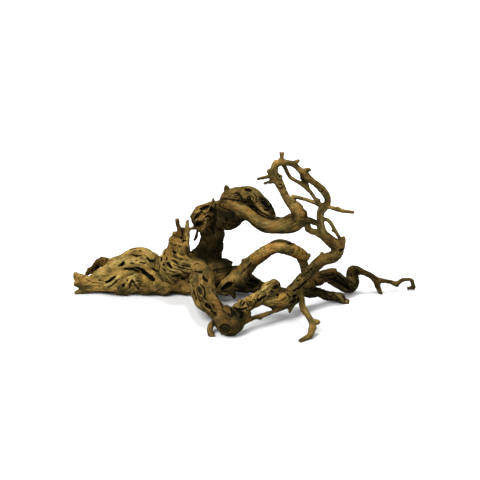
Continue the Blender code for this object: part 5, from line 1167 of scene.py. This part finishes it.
def fineSkin(material):
    # The whole wood as one fine closed skin. Also gives the knots' places on it.
    limbsObject = routeLines()
    addTree(limbsObject, limbTree(), {"Points round a limb": skin["around"],
                                      "Fine strand share": skin["fineStrands"], "Wood": material})
    mesh = fused(limbsObject, skin["firstGrid"], skin["firstSoftening"])
    points, faces = meshPoints(mesh), meshFaces(mesh)
    print("Limbs fused:", len(points), "points")
    points = pressed(points, 1, byWidth(frontHollows, True), frontKnots)
    points = pressed(points, -1, byWidth(backHollows, True), backKnots)
    mesh = fused(meshObject("pressed", points, faces), skin["lastGrid"], skin["lastSoftening"])
    points, faces, normals = meshPoints(mesh), meshFaces(mesh), meshNormals(mesh)
    knotPlaces = knotCentres(points)
    raised = normals * evened(relief(points, knotPlaces), faces, skin["evening"])[:, None]
    points = pressed(points, 1, byWidth(frontHollows, False), [])
    points = pressed(points, -1, byWidth(backHollows, False), []) + raised
    print("Grain raised:", len(points), "points")
    points, faces = largestIsland(points, faces)
    wood = meshObject("grapevine_wood_skin", points, faces)
    thin = wood.modifiers.new("Thin out", "DECIMATE")
    thin.ratio = skin["faces"] / (2 * len(faces))  # each face is two triangles
    thin.use_collapse_triangulate = True
    mesh = evaluatedMesh(wood)
    points, faces = largestIsland(meshPoints(mesh), meshFaces(mesh))
    low, high = np.array(cadBox) / mm
    points = np.clip(points, low, high)
    print("Skin thinned:", len(faces), "faces")
    wood = meshObject("grapevine_wood_skin", points, faces)
    wood.data.materials.append(material)
    wood.data.shade_smooth()
    return wood, knotPlaces


# What the material reads at each point

marks = {
    # Painted shade inside the hollows: the depth at which a hollow is painted black inside, and how far
    # that reaches.
    "blackDepth": 4,  # mm of depth at which a hollow is black inside
    "hollowShadeSpread": 1.5,  # half widths that its darkness reaches
    "tintReach": 12,  # mm behind the foremost skin that a tint still colours
    "tintSpread": 2,  # half widths that a tint reaches
    "limbReach": 14,  # mm outside a limb within which its look counts
    "blend": 4,  # mm over which one limb's look gives way to the next
    "fade": 2,  # mm beside a seam of two limbs over which the fine grain fades out
    # Painted shade: skin that faces sideways or down is coloured darker, as if lit from above.
    "paintedTopLight": (0.57, 0.64),  # lightness of an upright skin, and what facing up adds
    "creviceReach": 12,  # mm that a ray looks for wood beside it
    "rayStart": 0.15,  # mm over the skin
    "raySpin": 2.4,  # radians from one ray to the next
    "farWood": 0.5,  # how much wood at the end of its reach closes a ray
    "rays": 14,
    "quickRays": 6,
}


# Painted shade: how closed in a point is darkens its colour, as shade would in slots and crevices.
def crevices(obj, points, normals):
    # How closed in each point is: 0 in the open, 1 deep in a slot.
    tree = BVHTree.FromObject(obj, bpy.context.evaluated_depsgraph_get())
    rays = marks["rays"]
    tilt = np.sqrt((np.arange(rays) + 0.5) / rays)
    spin = np.arange(rays) * marks["raySpin"]
    pattern = np.stack([tilt * np.cos(spin), tilt * np.sin(spin), np.sqrt(1 - tilt**2)], axis=1)
    upright = np.abs(normals[:, 2:]) > 0.9
    side = np.cross(normals, np.where(upright, (1.0, 0.0, 0.0), (0.0, 0.0, 1.0)))
    side /= np.linalg.norm(side, axis=1)[:, None]
    lift = np.cross(normals, side)
    starts = (points + normals * marks["rayStart"]) * mm
    reach = marks["creviceReach"] * mm
    closed = np.zeros(len(points))
    for x, y, z in pattern:
        directions = side * x + lift * y + normals * z
        for i in range(len(points)):
            distance = tree.ray_cast(starts[i], directions[i], reach)[3]
            if distance is not None:
                closed[i] += 1 - (1 - marks["farWood"]) * distance / reach
    return closed / rays


def strokeMarks(points):
    # How far each point lies in a hollow, which sets the painted shade inside it, and how much of each tint
    # it has.
    values = {"hollowShade": np.zeros(len(points)), **{name: np.zeros(len(points)) for name in tints}}
    for side, hollows in ((1, frontHollows), (-1, backHollows)):
        sight = Sight(points, side)
        for depth, line in hollows:
            if depth > 0:
                near, off = sight.stroke(line, marks["hollowShadeSpread"], depth + pressing["skinReach"])
                share = np.clip(marks["hollowShadeSpread"] - off, 0, 1) * min(1, depth / marks["blackDepth"])
                values["hollowShade"][near] = np.maximum(values["hollowShade"][near], share)
        if side > 0:
            for name, strokes in tints.items():
                for amount, line in strokes:
                    near, off = sight.stroke(line, marks["tintSpread"], marks["tintReach"])
                    share = amount * np.exp(-(off**2))
                    values[name][near] = np.maximum(values[name][near], share)
    return values


def markWood(obj, knotPlaces):
    # Stores on the skin what its material reads: the grain's coordinates and the marks.
    mesh = obj.data
    points, normals = meshPoints(mesh), meshNormals(mesh)
    best = np.full(len(points), 1e9)
    second = np.full(len(points), 1e9)
    grainAt = np.zeros((len(points), 3))
    weight = np.full(len(points), 1e-6)
    light = np.zeros(len(points))
    red = np.zeros(len(points))
    height = np.zeros(len(points))
    for limb, near in nearLimbs(points, marks["limbReach"]):
        grain, away, radius = grainPlaces(limb, points[near], knotPlaces)
        gap = away - radius
        share = limbShare(gap, marks["blend"])
        weight[near] += share
        light[near] += share * limb.light
        red[near] += share * limb.red
        height[near] += share * limbRelief(grain, radius, limb.rough)
        nearer = gap < best[near]
        second[near] = np.where(nearer, best[near], np.minimum(second[near], gap))
        best[near] = np.where(nearer, gap, best[near])
        grainAt[near[nearer]] = grain[nearer]
    values = {
        "fade": np.clip((second - best) / marks["fade"], 0, 1),
        "light": light / weight,
        "height": height / weight,
        "creviceShade": crevices(obj, points, normals),
        **strokeMarks(points),
    }
    # Painted shade from above: the lightness falls off where the skin faces sideways or down.
    upright, above = marks["paintedTopLight"]
    values["light"] = np.clip(values["light"] * (upright + above * normals[:, 2]), 0, 1)
    values["red"] = np.maximum(values["red"], red / weight)
    for name, value in values.items():
        data = np.ascontiguousarray(value, np.float32)
        mesh.attributes.new(name, "FLOAT", "POINT").data.foreach_set("value", data)
    data = np.ascontiguousarray(grainAt, np.float32)
    mesh.attributes.new("grain", "FLOAT_VECTOR", "POINT").data.foreach_set("vector", data.ravel())
    print("Skin marked")


woodColours = {
    "pale": (0.45, 0.33, 0.11, 1.0),
    "tan": (0.235, 0.165, 0.048, 1.0),
    "brown": (0.082, 0.056, 0.011, 1.0),
    "red": (0.27, 0.125, 0.022, 1.0),
    # Dark green-grey, used as painted shade.
    "greenShade": (0.03, 0.032, 0.014, 1.0),
    "dark": (0.006, 0.005, 0.002, 1.0),
}
woodLooks = {
    "roughness": 0.85,
    "gloss": 0.02,
    "noiseRoughness": 0.6,
    "streak": ((0.5, 0.5, 0.03), 4.0),  # bumps a mm across and along the grain, and detail
    "hair": ((1.9, 1.9, 0.08), 3.0),
    "patches": (30.0, 3.0),  # bumps a metre, and detail
    "finePatches": (60.0, 3.0),
    "lightPatches": (0.35, 0.65, 0.6),  # from and to in the noise, and how much they change the light
    "tan": (0.36, 0.64),  # from and to, where tan takes the place of brown
    "red": (0.4, 0.6),
    "redEverywhere": 0.15,
    "pale": (0.48, 0.66, 0.75),  # from, to and how much at most
    # The pale marks' painted highlights: what they add to the colour and to the lightness.
    "paleTint": (0.5, 0.3),  # what the pale marks add to the colour and to the light
    # Where the dark green-grey painted shade shows within its tint.
    "greenShade": (0.3, 0.55),
    # Painted shade in the valleys of the relief:
    "valley": (0.2, -1.8, 0.8),  # mm of relief from and to, and how dark
    # Painted shade in crevices: how closed in a point must be for it to start and to be full.
    "creviceShade": (0.15, 0.5),
    # Painted shade inside the pressed hollows and slots.
    "hollowShade": (0.3, 0.9),
    "bump": (0.6, 0.0004),  # strength and metres
}


def woodMaterial():
    material = bpy.data.materials.new("dry vine wood")
    material.use_nodes = True
    tree = material.node_tree
    shader = tree.nodes["Principled BSDF"]

    def mark(name, out="Fac"):
        return addNode(tree, "ShaderNodeAttribute", {"attribute_name": name}, out=out)

    def noiseAt(vector, scale, detail):
        return addNode(tree, "ShaderNodeTexNoise", values={
            "Vector": vector, "Scale": scale, "Detail": detail, "Roughness": woodLooks["noiseRoughness"]})

    def grainNoise(scale, detail):
        return (noiseAt(grain.vector("MULTIPLY", scale), 1.0, detail) - 0.5) * fade + 0.5

    def mixed(factor, first, second):
        return addNode(tree, "ShaderNodeMix", {"data_type": "RGBA"},
                       {"Factor": factor, "A": first, "B": second})

    def spread(value, low, high, most=1.0):
        return addNode(tree, "ShaderNodeMapRange", {"interpolation_type": "SMOOTHSTEP"},
                       [value, low, high, 0.0, most])

    grain = mark("grain", "Vector")
    fade = mark("fade")
    paleMark = mark("pale")
    streak = grainNoise(*woodLooks["streak"])
    hair = grainNoise(*woodLooks["hair"])
    here = addNode(tree, "ShaderNodeTexCoord", out="Object")
    patch = noiseAt(here, *woodLooks["patches"])
    finePatch = noiseAt(here, *woodLooks["finePatches"])
    low, high, change = woodLooks["lightPatches"]
    paleColour, paleLight = woodLooks["paleTint"]
    pale, tan, brown, red, greenShade, dark = woodColours.values()
    base = mixed(spread(streak * 0.6 + finePatch * 0.4, *woodLooks["tan"]), brown, tan)
    base = mixed(spread(patch, *woodLooks["red"]) * (mark("red") + woodLooks["redEverywhere"]), base, red)
    # Pale grain, and the pale marks with their painted highlights.
    base = mixed(spread(hair * 0.6 + streak * 0.4, *woodLooks["pale"]) + paleMark * paleColour, base, pale)
    # Painted shade, dark green-grey, in patches where that tint lies.
    base = mixed(mark("greenShade") * spread(patch, *woodLooks["greenShade"]), base, greenShade)
    # Painted shade in the grain's valleys: the lower the relief, the darker the colour.
    base = mixed(spread(mark("height"), *woodLooks["valley"]), base, dark)
    # Painted shade and highlights: the limbs' lightness with its painted shade, darker under the dark tint,
    # lifted by the pale marks' painted highlights.
    light = mark("light") * (1 - mark("dark")) * (spread(finePatch, low, high, change) + (1 - change / 2))
    base = mixed(light + paleMark * paleLight, dark, base)
    # Painted shade in crevices and slots, from how closed in the skin is.
    base = mixed(spread(mark("creviceShade"), *woodLooks["creviceShade"]), base, dark)
    # Painted shade inside the pressed hollows and slots.
    base = mixed(spread(mark("hollowShade"), *woodLooks["hollowShade"]), base, dark)
    tree.links.new(base.output, shader.inputs["Base Color"])
    shader.inputs["Roughness"].default_value = woodLooks["roughness"]
    shader.inputs["Specular IOR Level"].default_value = woodLooks["gloss"]
    strength, distance = woodLooks["bump"]
    bump = addNode(tree, "ShaderNodeBump", values={
        "Strength": strength, "Distance": distance, "Height": (hair * 0.6 + streak) * fade})
    tree.links.new(bump.output, shader.inputs["Normal"])
    return material


# Floor, lights and camera

studio = {
    "floor": (0.86, 0.86, 0.86, 1.0),
    "floorRoughness": 0.9,
    "floorSize": 6.0,
    "sky": 0.3,
    "aim": (0, 0, 0.1),
    "lights": {  # place, width and power
        "key": ((-0.9, -1.3, 1.9), 1.3, 66),
        "fill": ((1.4, -1.1, 1.2), 1.0, 14),
        "top": ((0.2, 0.5, 2.0), 0.8, 40),
    },
}


def pointAt(obj, target):
    obj.rotation_euler = (Vector(target) - obj.location).to_track_quat("-Z", "Y").to_euler()


def addLight(name, location, size, power):
    light = bpy.data.lights.new(name, "AREA")
    light.shape = "DISK"
    light.size = size
    light.energy = power
    obj = bpy.data.objects.new(name, light)
    obj.location = location
    pointAt(obj, studio["aim"])
    bpy.context.scene.collection.objects.link(obj)


def setStudio():
    half = studio["floorSize"] / 2
    corners = [(-half, -half, 0), (half, -half, 0), (half, half, 0), (-half, half, 0)]
    mesh = bpy.data.meshes.new("floor")
    mesh.from_pydata(corners, [], [(0, 1, 2, 3)])
    floor = bpy.data.objects.new("floor", mesh)
    bpy.context.scene.collection.objects.link(floor)
    material = bpy.data.materials.new("pale floor")
    material.use_nodes = True
    shader = material.node_tree.nodes["Principled BSDF"]
    shader.inputs["Base Color"].default_value = studio["floor"]
    shader.inputs["Roughness"].default_value = studio["floorRoughness"]
    mesh.materials.append(material)
    world = bpy.data.worlds.new("studio")
    world.use_nodes = True
    background = world.node_tree.nodes["Background"]
    background.inputs["Color"].default_value = (1, 1, 1, 1)
    background.inputs["Strength"].default_value = studio["sky"]
    bpy.context.scene.world = world
    for name, values in studio["lights"].items():
        addLight(name, *values)
    bpy.context.scene.view_settings.view_transform = "Standard"


cameraView = {
    "target": (-7.6, 17.0, 116.5),  # mm
    "raised": 0.8,  # mm along the picture's up
    "distance": 6000,
    "frameWidth": 768,  # mm that the picture's width covers at the target
    "sensor": 36,
    "clipEnd": 20,  # m
}


def setCamera():
    camera = bpy.data.cameras.new("camera")
    obj = bpy.data.objects.new("camera", camera)
    sin, cos = math.sin(sightTilt), math.cos(sightTilt)
    target = np.array(cameraView["target"]) + cameraView["raised"] * np.array([0, sin, cos])
    obj.location = (target + cameraView["distance"] * np.array([0, -cos, sin])) * mm
    pointAt(obj, target * mm)
    camera.sensor_width = cameraView["sensor"]
    camera.lens = cameraView["sensor"] * cameraView["distance"] / cameraView["frameWidth"]
    camera.clip_end = cameraView["clipEnd"]
    bpy.context.scene.collection.objects.link(obj)
    bpy.context.scene.camera = obj


setCamera()
setStudio()
routes = [Limb(order, *values) for order, values in enumerate(limbs.values())]
wood, knotPlaces = fineSkin(woodMaterial())
markWood(wood, knotPlaces)
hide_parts("grapevine_wood")
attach(wood, "root")
